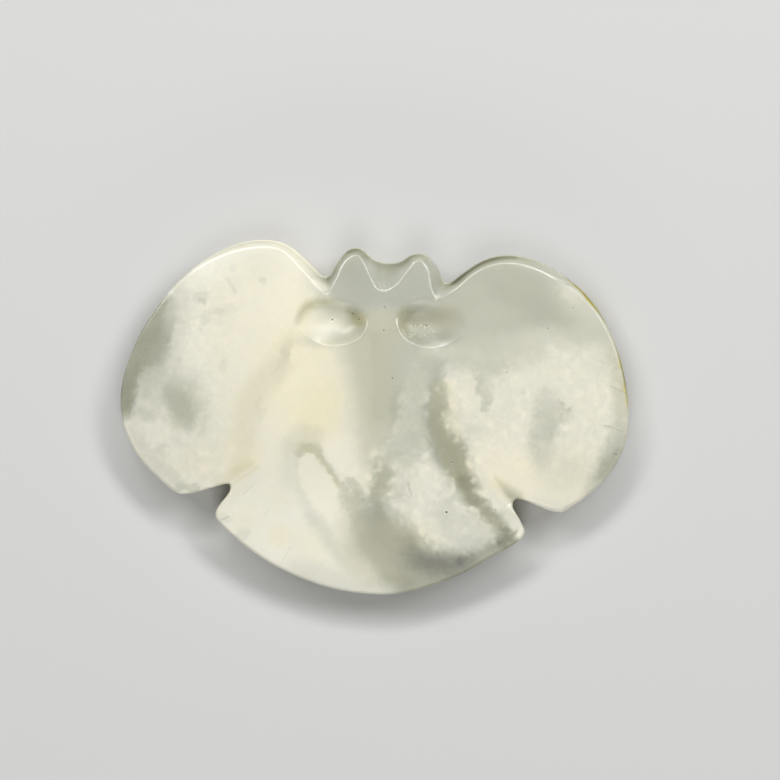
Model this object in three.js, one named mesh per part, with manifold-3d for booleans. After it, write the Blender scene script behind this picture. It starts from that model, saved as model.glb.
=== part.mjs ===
// A jade carving of a winged creature, spread flat: a small head with two ears, two broad wings, and a fan tail that a
// notch parts from each wing. It is one stone, lying on its back with its carved face up. Millimetres, +Z up, +Y towards
// the head, origin under the middle of the piece on the flat of its back.
import * as THREE from "three";
import { mergeVertices } from "three/addons/utils/BufferGeometryUtils.js";
import Module from "manifold-3d";

// ---------------------------------------------------------------- the outline
// Where the outline passes, which way it heads there (degrees, going round by the left wing), how far its curve reaches
// before and after, how wide the bevel of the face is there, and how crisp its crease is (1 a ground facet, 0 an arris
// that is only rounded over).
//                     x       y  heading  in   out bevel crisp
const STATIONS = {
  headScoop:      [   2.1,   21.9, 179,  2.8,  3.3,  1.3,  1.0],
  earTipL:        [  -2.5,   24.0, 176,  1.8,  1.5, 1.05,  1.0],
  earFlankL:      [  -5.3,   21.8, 235,  0.9,  1.4,  0.8,  0.5],
  earNotchL:      [  -7.1,   19.9, 173,  1.0,  0.6,  1.0,  1.0],
  wingFlankL:     [ -10.1,   22.6, 137,  3.2,  1.8,  1.0,  1.0],
  wingCrestL:     [ -15.8,  25.15, 180,  3.1,  2.2, 0.85,  1.0],
  wingShoulderL:  [ -27.7,   19.4, 224,  7.4,  4.1,  0.4,  0.0],
  wingSideL:      [ -36.0,    1.5, 274,  6.9,  5.6, 0.35,  0.0],
  wingUnderL:     [ -31.5,   -7.8, 316,  1.1,  2.4, 0.45,  0.0],
  wingTipL:       [ -27.4,  -10.9, 354,  1.1,  1.9,  0.6,  0.0],
  tailNotchL:     [ -20.5,   -9.5, 302,  0.6,  1.7, 0.35,  0.0],
  tailCornerL:    [ -22.3,  -14.4, 298,  2.1,  0.4, 0.35,  0.0],
  tailCurveL:     [ -14.7,  -20.7, 330,  4.7,  8.3, 0.45,  0.0],
  keel:           [   1.3, -25.15, 359,  3.0,  4.1,  0.4,  0.0],
  tailCurveR:     [  15.6,  -20.5,  33,  4.6,  2.3,  0.5,  0.2],
  tailCornerR:    [  21.2,  -16.0, 105,  1.5,  1.4, 0.35,  0.0],
  tailNotchR:     [  19.5,  -12.6,  89,  0.4,  2.8, 0.35,  0.0],
  wingTipR:       [  26.4,  -13.5,   1,  3.0,  0.4,  0.8,  0.0],
  wingUnderR:     [  31.4,  -10.1,  42,  2.6,  5.2,  0.4,  0.0],
  wingSideR:      [  36.0,   -1.3,  88,  1.8,  7.1, 0.35,  0.0],
  wingShoulderR:  [  29.6,   17.8, 135,  6.3,  2.1,  0.6,  0.0],
  wingBrowR:      [  25.2,   21.2, 150,  1.6,  2.5,  1.3,  0.1],
  wingCrestR:     [  19.2,   23.0, 178,  1.9,  3.2, 1.05,  1.0],
  wingFlankR:     [  13.4,   21.0, 213,  0.5,  1.9,  0.9,  1.0],
  earNotchR:      [  10.5,   19.0, 183,  0.4,  1.0,  1.1,  1.0],
  earFlankR:      [   8.8,   21.3, 123,  1.7,  1.6, 1.25,    0],
  earTipR:        [   6.2,   23.2, 184,  1.2,  2.2,  1.0,  1.0],
};
// In the scoop between the ears and at the notch beside each ear, the bevel runs in to straight creases that meet in a
// rounded corner. Each crease passes a point (x, y) in a direction (degrees); reach is how far from the station it acts.
const VALLEYS = [
  { at: "headScoop", reach: 5, creases: [[-0.85, 20.6, 113], [1.3, 17.8, 5], [4, 20, 53]] },
  { at: "earNotchL", reach: 7.5, creases: [[-6.7, 17.1, 132], [-6.7, 17.1, 65]] },
  { at: "earNotchR", reach: 6.5, creases: [[11.35, 18.3, 42], [8.55, 16.8, 11], [8.55, 16.8, 108]] },
];
const WIDEST_BEVEL = 4.2;

// ---------------------------------------------------------------- the section
const CROWN_Z = 8.4; // top of the face, over the body
const CROWN_Y = 0.5; // where along the body it is highest
const FALL_SIDE = 3.5; // how far the face has fallen at the wings' sides, HALF_SPAN out
const FALL_ENDS = 3.2; // and at the head and the tail, HALF_LENGTH up and down
const HALF_SPAN = 36;
const HALF_LENGTH = 25.2;
const RIM_FOOT_Z = 1.7; // the rim is a narrow wall from here up to the bevel's foot
const BEVEL_DROP = 1.2; // how far below the face a bevel ends, for each millimetre of its width
const BEVEL_EASE = 0.13; // and how much less that is where it is broad
const BACK_ROUND = 1.3; // how far in from the outline the back's rounding reaches
const RIDGE_X = 0.3; // the body's faint lengthwise ridge, which falls away by this slope to each side
const RIDGE_SLOPE = 0.055;
const RIDGE_HALF_WIDTH = 4.6;
const RIDGE_FROM_Y = 16.5;
const RIDGE_TO_Y = -7;

// ------------------------------------------------- the oval hollows and tail grooves
// Each hollow is an oval gouge, steep at its inner end and running out towards the wing.
const HOLLOWS = [
  { x: -5.95, y: 13.2, long: 4.75, short: 3.1, turn: -3, inner: 1, depth: 1, skew: 0.55 },
  { x: 8.15, y: 13.15, long: 4.8, short: 3.35, turn: 1, inner: -1, depth: 1, skew: 0.55 },
];
// Each groove is shallow and soft; it runs on from a tail notch up over the face and dies out.
const GROOVES = [
  { x: -20.4, y: -9.7, angle: 37, run: 6, depth: 0.42, steep: 2, gentle: 2.6, tailSide: -1 },
  { x: 19.3, y: -11.9, angle: 133, run: 4.8, depth: 0.6, steep: 1.8, gentle: 2.2, tailSide: 1 },
];

// ---------------------------------------------------------------- mesh density
const STEP = 1.2; // spacing along the outline
const FACE_RINGS = 8; // from the bevel's crease in to an oval over the body
const CORE = { x: 1.4, y: -0.6, half: [13, 8], rings: [0.72, 0.4] }; // that oval, and the rings inside it
const EASE = 7; // how many neighbours even out the points' spacing round the oval

const rad = (deg) => (deg * Math.PI) / 180;
const smooth = (t) => {
  const u = Math.min(1, Math.max(0, t));
  return u * u * (3 - 2 * u);
};

// The outline as points with their inward direction, bevel width and crispness.
function outline() {
  const names = Object.keys(STATIONS);
  const points = [];
  names.forEach((name, i) => {
    const next = names[(i + 1) % names.length];
    const [a, b] = [STATIONS[name], STATIONS[next]];
    const heading = (s) => [Math.cos(rad(s[2])), Math.sin(rad(s[2]))];
    const [ha, hb] = [heading(a), heading(b)];
    const curve = new THREE.CubicBezierCurve(
      new THREE.Vector2(a[0], a[1]),
      new THREE.Vector2(a[0] + ha[0] * a[4], a[1] + ha[1] * a[4]),
      new THREE.Vector2(b[0] - hb[0] * b[3], b[1] - hb[1] * b[3]),
      new THREE.Vector2(b[0], b[1]),
    );
    const fine = VALLEYS.slice(1).some((v) => v.at === name || v.at === next) ? 2 : 1;
    const n = Math.max(2, Math.round((curve.getLength() / STEP) * fine));
    for (let k = 0; k < n; k++) {
      const t = k / n;
      const p = curve.getPointAt(t);
      const d = curve.getTangentAt(t);
      points.push({
        x: p.x,
        y: p.y,
        inX: -d.y,
        inY: d.x,
        bevel: a[5] + (b[5] - a[5]) * smooth(t),
        crisp: a[6] + (b[6] - a[6]) * smooth(t),
      });
    }
  });
  for (const p of points)
    for (const v of VALLEYS) {
      const reach = valleyReach(v, p);
      p.bevel = (p.bevel ** 8 + reach ** 8) ** (1 / 8);
    }
  for (const p of points) {
    // How far in a line from here can go before it is nearer to some other part of the outline.
    p.room = Infinity;
    for (const q of points) {
      const [dx, dy] = [q.x - p.x, q.y - p.y];
      const ahead = dx * p.inX + dy * p.inY;
      if (ahead > 1e-6) p.room = Math.min(p.room, (dx * dx + dy * dy) / (2 * ahead));
    }
  }
  // Evened out for the back, so that its rings follow the outline without a jog.
  const around = (values, i, reach) =>
    Array.from({ length: 2 * reach + 1 }, (_, k) => values.at((i + k - reach) % values.length));
  const least = points.map((p) => p.room).map((_, i, all) => Math.min(...around(all, i, 2)));
  points.forEach((p, i) => (p.backRoom = around(least, i, 2).reduce((a, b) => a + b) / 5));
  return points;
}

// How wide the bevel is where a line straight in from the outline meets the nearest of a valley's creases.
function valleyReach(v, p) {
  const [sx, sy] = STATIONS[v.at];
  let least = 0;
  for (const [cx, cy, heading] of v.creases) {
    // The crease's normal, turned away from the outline.
    let [nx, ny] = [-Math.sin(rad(heading)), Math.cos(rad(heading))];
    if (nx * (sx - cx) + ny * (sy - cy) > 0) [nx, ny] = [-nx, -ny];
    const ahead = p.inX * nx + p.inY * ny;
    const gap = (cx - p.x) * nx + (cy - p.y) * ny;
    if (ahead > 0.1 && gap <= 0) return 0;
    least += (ahead > 0.1 ? gap / ahead : 1e3) ** -6;
  }
  const reach = least ** (-1 / 6);
  const away = Math.hypot(p.x - sx, p.y - sy);
  return reach * (1 - smooth((reach - WIDEST_BEVEL) / 0.8)) * (1 - smooth((away - v.reach + 0.8) / 0.8));
}

// An inset that gives way where the piece is too narrow or its outline too tight for it.
const inset = (d, room) => (d > 0 ? (d ** -4 + room ** -4) ** -0.25 : 0);
const faceInset = (p, share = 1) => share * inset(p.bevel, 0.92 * p.room);
const backInset = (p, share = 1) => inset(BACK_ROUND * share, 0.45 * p.backRoom);
const bevelDrop = (width) => (BEVEL_DROP * width) / (1 + BEVEL_EASE * width);

// Height of the face over (x, y), before the hollows are sunk into it.
function faceZ(x, y) {
  const along = Math.abs(y - CROWN_Y) / HALF_LENGTH;
  const across = Math.abs(x) / HALF_SPAN;
  let z = CROWN_Z - FALL_SIDE * across ** 2.1 - FALL_ENDS * along ** 2.1;
  const body =
    smooth((RIDGE_FROM_Y - y) / 4) * smooth((y - RIDGE_TO_Y) / 6);
  const off = Math.min(Math.abs(x - RIDGE_X), RIDGE_HALF_WIDTH);
  z -= RIDGE_SLOPE * off * body * (1 - smooth((Math.abs(x - RIDGE_X) - 4) / 5));
  return z - grooveDepth(x, y);
}

function grooveDepth(x, y) {
  let depth = 0;
  for (const g of GROOVES) {
    const [ux, uy] = [Math.cos(rad(g.angle)), Math.sin(rad(g.angle))];
    const along = (x - g.x) * ux + (y - g.y) * uy;
    const off = ((x - g.x) * -uy + (y - g.y) * ux) * -g.tailSide;
    const left = Math.min(1, Math.max(0, 1 - along / g.run));
    const width = (off < 0 ? g.gentle : g.steep) * (0.35 + 0.65 * left);
    const cut = Math.max(0, 1 - Math.abs(off / width)) ** 2;
    const fade = smooth((along + 0.4 * g.run) / (0.4 * g.run));
    depth = Math.max(depth, g.depth * left ** 1.3 * cut * fade);
  }
  return depth;
}

// How deep a hollow is at (along, across) its oval, each from -1 to 1 inside it.
function hollowDepth(h, along, across) {
  const inside = 1 - along ** 2 - across ** 2;
  return h.depth * inside * Math.max(0.05, 1 + h.skew * along * h.inner) ** 2;
}

// Rings of points, joined from the middle of the back round the rim to the middle of the face, as one closed mesh.
function plaque(points) {
  const n = points.length;
  const level = (depth, z) =>
    points.map((p) => {
      const d = depth(p);
      const [x, y] = [p.x + p.inX * d, p.y + p.inY * d];
      return [x, y, z(x, y, p)];
    });
  // Where each point of the outline ends up on the core's oval.
  const bearing = points.map((p) => Math.atan2(p.y - CORE.y, p.x - CORE.x));
  for (let i = 1; i < n; i++) while (bearing[i] < bearing[i - 1] - Math.PI) bearing[i] += 2 * Math.PI;
  const eased = bearing.map((_, i) => {
    let [sum, weight] = [0, 0];
    for (let k = -2 * EASE; k <= 2 * EASE; k++) {
      const turns = Math.floor((i + k) / n);
      const w = Math.exp(-((k / EASE) ** 2));
      sum += w * (bearing[i + k - turns * n] + turns * 2 * Math.PI);
      weight += w;
    }
    return sum / weight;
  });
  const core = (scale) =>
    eased.map((a) => [
      CORE.x + CORE.half[0] * scale * Math.cos(a),
      CORE.y + CORE.half[1] * scale * Math.sin(a),
    ]);
  const between = (outer, t) =>
    core(1).map(([x, y], i) => [outer[i][0] + (x - outer[i][0]) * t, outer[i][1] + (y - outer[i][1]) * t]);
  const backZ = (t) => RIM_FOOT_Z * (1 - Math.sqrt(1 - (1 - t) ** 2));

  const flat = level((p) => backInset(p), () => 0);
  const rings = [1, 0.66, 0.33].map((t) => between(flat, t).map(([x, y]) => [x, y, 0]));
  rings.push(flat);
  for (const t of [0.45, 0.12]) rings.push(level((p) => backInset(p, t), () => backZ(t)));
  rings.push(level(() => 0, () => RIM_FOOT_Z));
  const crease = level((p) => faceInset(p), faceZ);
  points.forEach((p, i) => (p.rimTop = crease[i][2] - bevelDrop(faceInset(p))));
  rings.push(level(() => 0, (x, y, p) => p.rimTop));
  for (const t of [0.2, 0.55])
    rings.push(
      level(
        (p) => faceInset(p, t),
        (x, y, p) => {
          const rise = p.crisp * t + (1 - p.crisp) * Math.sqrt(1 - (1 - t) ** 2);
          return p.rimTop + (faceZ(x, y) - p.rimTop) * rise;
        },
      ),
    );
  rings.push(crease);
  for (let r = 1; r <= FACE_RINGS; r++)
    rings.push(between(crease, r / FACE_RINGS).map(([x, y]) => [x, y, faceZ(x, y)]));
  for (const s of CORE.rings) rings.push(core(s).map(([x, y]) => [x, y, faceZ(x, y)]));

  const position = [[CORE.x, CORE.y, 0], ...rings.flat(), [CORE.x, CORE.y, faceZ(CORE.x, CORE.y)]];
  const index = [];
  const top = 1 + (rings.length - 1) * n;
  for (let i = 0; i < n; i++) {
    const j = (i + 1) % n;
    index.push(0, 1 + j, 1 + i, top + i, top + j, position.length - 1);
    for (let r = 0; r + 1 < rings.length; r++) {
      const [a, b, c, d] = [1 + r * n + i, 1 + r * n + j, 1 + (r + 1) * n + j, 1 + (r + 1) * n + i];
      index.push(a, b, c, a, c, d);
    }
  }
  return closed(position, index);
}

// What a hollow takes away: its floor, and straight up from its edge to above the face.
function gouge(h) {
  const [around, inwards, reach, over] = [44, 7, 1.06, 12];
  const turn = rad(h.turn);
  const place = (u, v) => [
    h.x + h.long * u * Math.cos(turn) - h.short * v * Math.sin(turn),
    h.y + h.long * u * Math.sin(turn) + h.short * v * Math.cos(turn),
  ];
  const position = [];
  for (let r = 1; r <= inwards; r++)
    for (let i = 0; i < around; i++) {
      const a = (i / around) * 2 * Math.PI;
      const s = (r / inwards) * reach;
      const [u, v] = [s * Math.cos(a), s * Math.sin(a)];
      const [x, y] = place(u, v);
      position.push([x, y, faceZ(x, y) - hollowDepth(h, u, v) + (r === inwards ? 0.02 : 0)]);
    }
  for (let i = 0; i < around; i++) {
    const [x, y] = position[(inwards - 1) * around + i];
    position.push([x, y, over]);
  }
  const [x0, y0] = place(0, 0);
  const floor = position.length;
  position.push([x0, y0, faceZ(x0, y0) - hollowDepth(h, 0, 0)], [x0, y0, over]);
  const index = [];
  for (let i = 0; i < around; i++) {
    const j = (i + 1) % around;
    index.push(floor, j, i);
    for (let r = 0; r < inwards; r++) {
      const [a, b, c, d] = [r * around + i, r * around + j, (r + 1) * around + j, (r + 1) * around + i];
      index.push(a, b, c, a, c, d);
    }
    index.push(inwards * around + i, inwards * around + j, floor + 1);
  }
  return closed(position, index);
}

function closed(position, index) {
  const geometry = new THREE.BufferGeometry();
  geometry.setAttribute("position", new THREE.Float32BufferAttribute(position.flat(), 3));
  geometry.setIndex(index);
  return mergeVertices(geometry, 1e-4);
}

const wasm = await Module();
wasm.setup();

function solid(geometry) {
  return new wasm.Manifold(
    new wasm.Mesh({
      numProp: 3,
      vertProperties: geometry.attributes.position.array,
      triVerts: new Uint32Array(geometry.index.array),
    }),
  );
}

function geometryOf(manifold) {
  const mesh = manifold.getMesh();
  const position = new Float32Array(mesh.numVert * 3);
  for (let i = 0; i < mesh.numVert; i++)
    position.set(mesh.vertProperties.subarray(i * mesh.numProp, i * mesh.numProp + 3), i * 3);
  const geometry = new THREE.BufferGeometry();
  geometry.setAttribute("position", new THREE.BufferAttribute(position, 3));
  geometry.setIndex(new THREE.BufferAttribute(mesh.triVerts, 1));
  geometry.computeVertexNormals();
  return geometry;
}

const stone = HOLLOWS.reduce(
  (body, h) => body.subtract(solid(gouge(h))),
  solid(plaque(outline())),
);

const jade = new THREE.MeshStandardMaterial({ color: 0xdedccb, roughness: 0.28, metalness: 0 });
const figure = new THREE.Mesh(geometryOf(stone), jade);
figure.name = "jade_figure";

const group = new THREE.Group();
group.add(figure);

export default group;
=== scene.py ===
"""A pale jade carving of a winged creature, spread flat: a small eared head, two broad wings and a fan tail.

It lies on its back, carved face up, as a loose thin plaque does, and the camera looks straight down on it.
The visible stone is one fine mesh, made from the same named measures as the solid it stands for, with the small
relief of a hand-cut piece: ground facets, wheel marks, pits and hairlines. Its clouds are a node material over a
few smooth masks, each drawn from named soft shapes.
"""

import math

import bpy
import numpy as np
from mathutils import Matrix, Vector
from mathutils.geometry import delaunay_2d_cdt


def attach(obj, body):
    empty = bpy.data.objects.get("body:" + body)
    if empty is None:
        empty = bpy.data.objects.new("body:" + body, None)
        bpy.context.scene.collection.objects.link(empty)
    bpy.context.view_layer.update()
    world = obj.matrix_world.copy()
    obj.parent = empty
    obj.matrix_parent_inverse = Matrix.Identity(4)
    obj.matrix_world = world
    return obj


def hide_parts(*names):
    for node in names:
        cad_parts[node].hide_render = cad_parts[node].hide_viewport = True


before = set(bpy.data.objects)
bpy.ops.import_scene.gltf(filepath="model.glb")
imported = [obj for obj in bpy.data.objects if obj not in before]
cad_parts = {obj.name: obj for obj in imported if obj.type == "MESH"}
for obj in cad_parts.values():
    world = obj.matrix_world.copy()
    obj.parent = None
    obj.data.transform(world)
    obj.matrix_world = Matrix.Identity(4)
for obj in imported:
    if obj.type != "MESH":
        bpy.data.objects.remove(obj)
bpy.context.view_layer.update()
MM = 0.001

# ---------------------------------------------------------------- the stone's shape, in millimetres
# Where the outline passes, which way it heads there (degrees, going round by the left wing), how far its curve
# reaches before and after, how wide the bevel of the face is there, and how crisp its crease is (1 a ground facet
# with a crease, 0 an arris that is only rounded over).
#                    x      y   heading  in   out  bevel crisp
STATIONS = {
    "headScoop":     (2.1, 21.9, 179, 2.8, 3.3, 1.3, 1.0),
    "earTipL":       (-2.5, 24.0, 176, 1.8, 1.5, 1.05, 1.0),
    "earFlankL":     (-5.3, 21.8, 235, 0.9, 1.4, 0.8, 0.5),
    "earNotchL":     (-7.1, 19.9, 173, 1.0, 0.6, 1.0, 1.0),
    "wingFlankL":    (-10.1, 22.6, 137, 3.2, 1.8, 1.0, 1.0),
    "wingCrestL":    (-15.8, 25.15, 180, 3.1, 2.2, 0.85, 1.0),
    "wingShoulderL": (-27.7, 19.4, 224, 7.4, 4.1, 0.4, 0.0),
    "wingSideL":     (-36.0, 1.5, 274, 6.9, 5.6, 0.35, 0.0),
    "wingUnderL":    (-31.5, -7.8, 316, 1.1, 2.4, 0.45, 0.0),
    "wingTipL":      (-27.4, -10.9, 354, 1.1, 1.9, 0.6, 0.0),
    "tailNotchL":    (-20.5, -9.5, 302, 0.6, 1.7, 0.35, 0.0),
    "tailCornerL":   (-22.3, -14.4, 298, 2.1, 0.4, 0.35, 0.0),
    "tailCurveL":    (-14.7, -20.7, 330, 4.7, 8.3, 0.45, 0.0),
    "keel":          (1.3, -25.15, 359, 3.0, 4.1, 0.4, 0.0),
    "tailCurveR":    (15.6, -20.5, 33, 4.6, 2.3, 0.5, 0.2),
    "tailCornerR":   (21.2, -16.0, 105, 1.5, 1.4, 0.35, 0.0),
    "tailNotchR":    (19.5, -12.6, 89, 0.4, 2.8, 0.35, 0.0),
    "wingTipR":      (26.4, -13.5, 1, 3.0, 0.4, 0.8, 0.0),
    "wingUnderR":    (31.4, -10.1, 42, 2.6, 5.2, 0.4, 0.0),
    "wingSideR":     (36.0, -1.3, 88, 1.8, 7.1, 0.35, 0.0),
    "wingShoulderR": (29.6, 17.8, 135, 6.3, 2.1, 0.6, 0.0),
    "wingBrowR":     (25.2, 21.2, 150, 1.6, 2.5, 1.3, 0.1),
    "wingCrestR":    (19.2, 23.0, 178, 1.9, 3.2, 1.05, 1.0),
    "wingFlankR":    (13.4, 21.0, 213, 0.5, 1.9, 0.9, 1.0),
    "earNotchR":     (10.5, 19.0, 183, 0.4, 1.0, 1.1, 1.0),
    "earFlankR":     (8.8, 21.3, 123, 1.7, 1.6, 1.25, 0.0),
    "earTipR":       (6.2, 23.2, 184, 1.2, 2.2, 1.0, 1.0),
}
# In the scoop between the ears and at the notch beside each ear, the bevel runs in to straight creases that meet in a
# rounded corner: each crease passes a point, in a direction (degrees).
VALLEYS = [
    dict(at="headScoop", reach=5.0, creases=[(-0.85, 20.6, 113), (1.3, 17.8, 5), (4.0, 20.0, 53)]),
    dict(at="earNotchL", reach=7.5, creases=[(-6.7, 17.1, 132), (-6.7, 17.1, 65)]),
    dict(at="earNotchR", reach=6.5, creases=[(11.35, 18.3, 42), (8.55, 16.8, 11), (8.55, 16.8, 108)]),
]
WIDEST_BEVEL = 4.2
CROWN_Z, CROWN_Y = 8.4, 0.5
FALL_SIDE, FALL_ENDS = 3.5, 3.2
HALF_SPAN, HALF_LENGTH = 36.0, 25.2
RIM_FOOT_Z = 1.7
BEVEL_DROP, BEVEL_EASE = 1.2, 0.13
BACK_ROUND = 1.3
RIDGE_X, RIDGE_SLOPE, RIDGE_HALF_WIDTH = 0.3, 0.055, 4.6
RIDGE_FROM_Y, RIDGE_TO_Y = 16.5, -7.0
HOLLOWS = [
    dict(x=-5.95, y=13.2, long=4.75, short=3.1, turn=-3, inner=1, depth=1.0, skew=0.55),
    dict(x=8.15, y=13.15, long=4.8, short=3.35, turn=1, inner=-1, depth=1.0, skew=0.55),
]
GROOVES = [
    dict(x=-20.4, y=-9.7, angle=37, run=6.0, depth=0.42, steep=2.0, gentle=2.6, tail_side=-1),
    dict(x=19.3, y=-11.9, angle=133, run=4.8, depth=0.6, steep=1.8, gentle=2.2, tail_side=1),
]


def smooth(t):
    u = np.clip(t, 0, 1)
    return u * u * (3 - 2 * u)


def outline(step):
    """The outline as columns x, y, inward x, inward y, bevel, crisp and room, with a point about every step."""
    names = list(STATIONS)
    rows = []
    for name_a, name_b in zip(names, names[1:] + names[:1]):
        a, b = STATIONS[name_a], STATIONS[name_b]
        ha, hb = math.radians(a[2]), math.radians(b[2])
        ctrl = np.array(
            [
                [a[0], a[1]],
                [a[0] + math.cos(ha) * a[4], a[1] + math.sin(ha) * a[4]],
                [b[0] - math.cos(hb) * b[3], b[1] - math.sin(hb) * b[3]],
                [b[0], b[1]],
            ]
        )
        t = np.linspace(0, 1, 801)
        basis = np.stack([(1 - t) ** 3, 3 * t * (1 - t) ** 2, 3 * t * t * (1 - t), t**3], 1)
        curve = basis @ ctrl
        run = np.concatenate([[0], np.cumsum(np.linalg.norm(np.diff(curve, axis=0), axis=1))])
        fine = 3 if {name_a, name_b} & {v["at"] for v in VALLEYS[1:]} else 1
        n = max(2, round(run[-1] / step * fine))
        share = np.arange(n) / n
        at = np.interp(share * run[-1], run, t)
        basis = np.stack([(1 - at) ** 3, 3 * at * (1 - at) ** 2, 3 * at * at * (1 - at), at**3], 1)
        p = basis @ ctrl
        d = 3 * (
            ((1 - at) ** 2)[:, None] * (ctrl[1] - ctrl[0])
            + (2 * at * (1 - at))[:, None] * (ctrl[2] - ctrl[1])
            + (at**2)[:, None] * (ctrl[3] - ctrl[2])
        )
        d /= np.linalg.norm(d, axis=1)[:, None]
        rows.append(
            np.column_stack(
                [p, -d[:, 1], d[:, 0], a[5] + (b[5] - a[5]) * smooth(share), a[6] + (b[6] - a[6]) * smooth(share)]
            )
        )
    o = np.vstack(rows)
    # The stations' headings are whole degrees, so the inward direction is evened out where two curves meet.
    for _ in range(3):
        o[:, 2:4] = (np.roll(o[:, 2:4], 1, 0) + 2 * o[:, 2:4] + np.roll(o[:, 2:4], -1, 0)) / 4
    o[:, 2:4] /= np.linalg.norm(o[:, 2:4], axis=1)[:, None]
    # A valley's bevel ends where a line straight in from the outline meets the nearest of its creases.
    for v in VALLEYS:
        station = np.array(STATIONS[v["at"]][0:2])
        least = np.zeros(len(o))
        for cx, cy, heading in v["creases"]:
            h = math.radians(heading)
            across = np.array([-math.sin(h), math.cos(h)])  # the crease's normal, turned away from the outline
            if across @ (station - (cx, cy)) > 0:
                across = -across
            ahead = o[:, 2:4] @ across
            gap = (np.array([cx, cy]) - o[:, 0:2]) @ across
            meets = (ahead > 0.1) & (gap > 0)
            least += np.where(meets, np.maximum(gap, 1e-3) / np.maximum(ahead, 0.1), 1e3) ** -6.0
            least = np.where((ahead > 0.1) & (gap <= 0), np.inf, least)
        reach = least ** (-1 / 6)
        reach = reach * (1 - smooth((reach - WIDEST_BEVEL) / 0.8))
        away = np.hypot(o[:, 0] - station[0], o[:, 1] - station[1])
        reach = reach * (1 - smooth((away - v["reach"] + 0.8) / 0.8))
        o[:, 4] = (o[:, 4] ** 8 + reach**8) ** (1 / 8)
    # How far in a line from here can go before it is nearer to some other part of the outline.
    gap = o[None, :, 0:2] - o[:, None, 0:2]
    ahead = (gap * o[:, None, 2:4]).sum(2)
    with np.errstate(divide="ignore", invalid="ignore"):
        room = np.where(ahead > 1e-3, (gap**2).sum(2) / (2 * ahead), np.inf).min(1)
    return np.column_stack([o, np.minimum(room, 50)])


def evened(values, reach):
    """The least of each value's neighbours, evened out."""
    least = np.min([np.roll(values, k) for k in range(-reach, reach + 1)], axis=0)
    return np.mean([np.roll(least, k) for k in range(-reach, reach + 1)], axis=0)


def inset(d, room, share):
    d = np.broadcast_to(np.asarray(d, float), room.shape)
    return np.where(d > 1e-9, (np.maximum(d, 1e-9) ** -4 + (share * room) ** -4) ** -0.25, 0)


def bevel_drop(width):
    """How far below the face a bevel of this width ends: about as far as it is wide, less where it is broad."""
    return BEVEL_DROP * width / (1 + BEVEL_EASE * width)


def groove_depth(x, y):
    depth = np.zeros_like(x)
    for g in GROOVES:
        ux, uy = math.cos(math.radians(g["angle"])), math.sin(math.radians(g["angle"]))
        along = (x - g["x"]) * ux + (y - g["y"]) * uy
        off = (-(x - g["x"]) * uy + (y - g["y"]) * ux) * -g["tail_side"]
        left = np.clip(1 - along / g["run"], 0, 1)
        width = np.where(off < 0, g["gentle"], g["steep"]) * (0.35 + 0.65 * left)
        cut = np.maximum(0, 1 - np.abs(off / width)) ** 2
        fade = smooth((along + 0.4 * g["run"]) / (0.4 * g["run"]))
        depth = np.maximum(depth, g["depth"] * left**1.3 * cut * fade)
    return depth


def hollow_at(h, x, y):
    """(along, across) in the hollow's oval, each from -1 to 1 inside it."""
    c, s = math.cos(math.radians(h["turn"])), math.sin(math.radians(h["turn"]))
    dx, dy = x - h["x"], y - h["y"]
    return (dx * c + dy * s) / h["long"], (-dx * s + dy * c) / h["short"]


def hollow_depth(h, x, y, lip=(0.0, 0.0)):
    """How deep a hollow is; lip is how far its edge is rounded over, on the foot's side and on the head's."""
    u, v = hollow_at(h, x, y)
    inside = 1 - u * u - v * v
    soft = np.maximum(lip[0] + (lip[1] - lip[0]) * smooth((v + 0.3) / 0.8), 1e-6)
    eased = np.clip(inside + soft, 0, 2 * soft) ** 2 / (4 * soft) + np.maximum(inside - soft, 0)
    return h["depth"] * eased * np.maximum(0.05, 1 + h["skew"] * u * h["inner"]) ** 2


def plain_face(x, y):
    """Height of the face with its ridge and grooves, before the hollows."""
    z = (
        CROWN_Z
        - FALL_SIDE * (np.abs(x) / HALF_SPAN) ** 2.1
        - FALL_ENDS * (np.abs(y - CROWN_Y) / HALF_LENGTH) ** 2.1
    )
    body = smooth((RIDGE_FROM_Y - y) / 4) * smooth((y - RIDGE_TO_Y) / 6)
    off = np.abs(x - RIDGE_X)
    near = np.sqrt(off**2 + 0.25**2) - 0.25
    z = z - RIDGE_SLOPE * np.minimum(near, RIDGE_HALF_WIDTH) * body * (1 - smooth((off - 4) / 5))
    return z - groove_depth(x, y)
# ---------------------------------------------------------------- fine relief
PITS = [  # x, y, radius, depth
    (-5.95, 13.77, 0.2, 0.25),
    (-3.1, 14.6, 0.16, 0.15),
    (-2.2, 13.8, 0.16, 0.15),
    (1.4, 15.5, 0.26, 0.07),
    (1.3, 12.2, 0.15, 0.15),
    (2.5, 5.5, 0.15, 0.15),
    (7.3, 12.9, 0.16, 0.15),
    (10.15, -13.4, 0.22, 0.25),
    (18.7, 6.25, 0.15, 0.12),
    (24.5, 12.5, 0.15, 0.12),
    (10.9, -6.4, 0.15, 0.12),
    (17.1, -13.1, 0.15, 0.12),
    (34.2, -5.3, 0.2, 0.12),
    (28.1, 15.4, 0.15, 0.1),
]


def undulation(x, y):
    """The slight unevenness of a face ground by hand."""
    w = 0.030 * np.sin(0.31 * x + 0.8) * np.sin(0.27 * y + 0.3)
    w += 0.022 * np.sin(0.55 * x - 0.43 * y + 1.9) + 0.016 * np.sin(0.38 * x + 0.71 * y + 4.1)
    w += 0.009 * np.sin(1.25 * x + 0.6 * y) * np.sin(1.05 * y - 0.5 * x + 2.2)
    return w


def face(x, y):
    z = plain_face(x, y) + undulation(x, y)
    for h in HOLLOWS:
        z = z - hollow_depth(h, x, y, HOLLOW_LIP)
    for px, py, r, depth in PITS:
        z = z - 0.3 * depth * np.exp(-(((x - px) ** 2 + (y - py) ** 2) / (r * r)))
    return z


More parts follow.
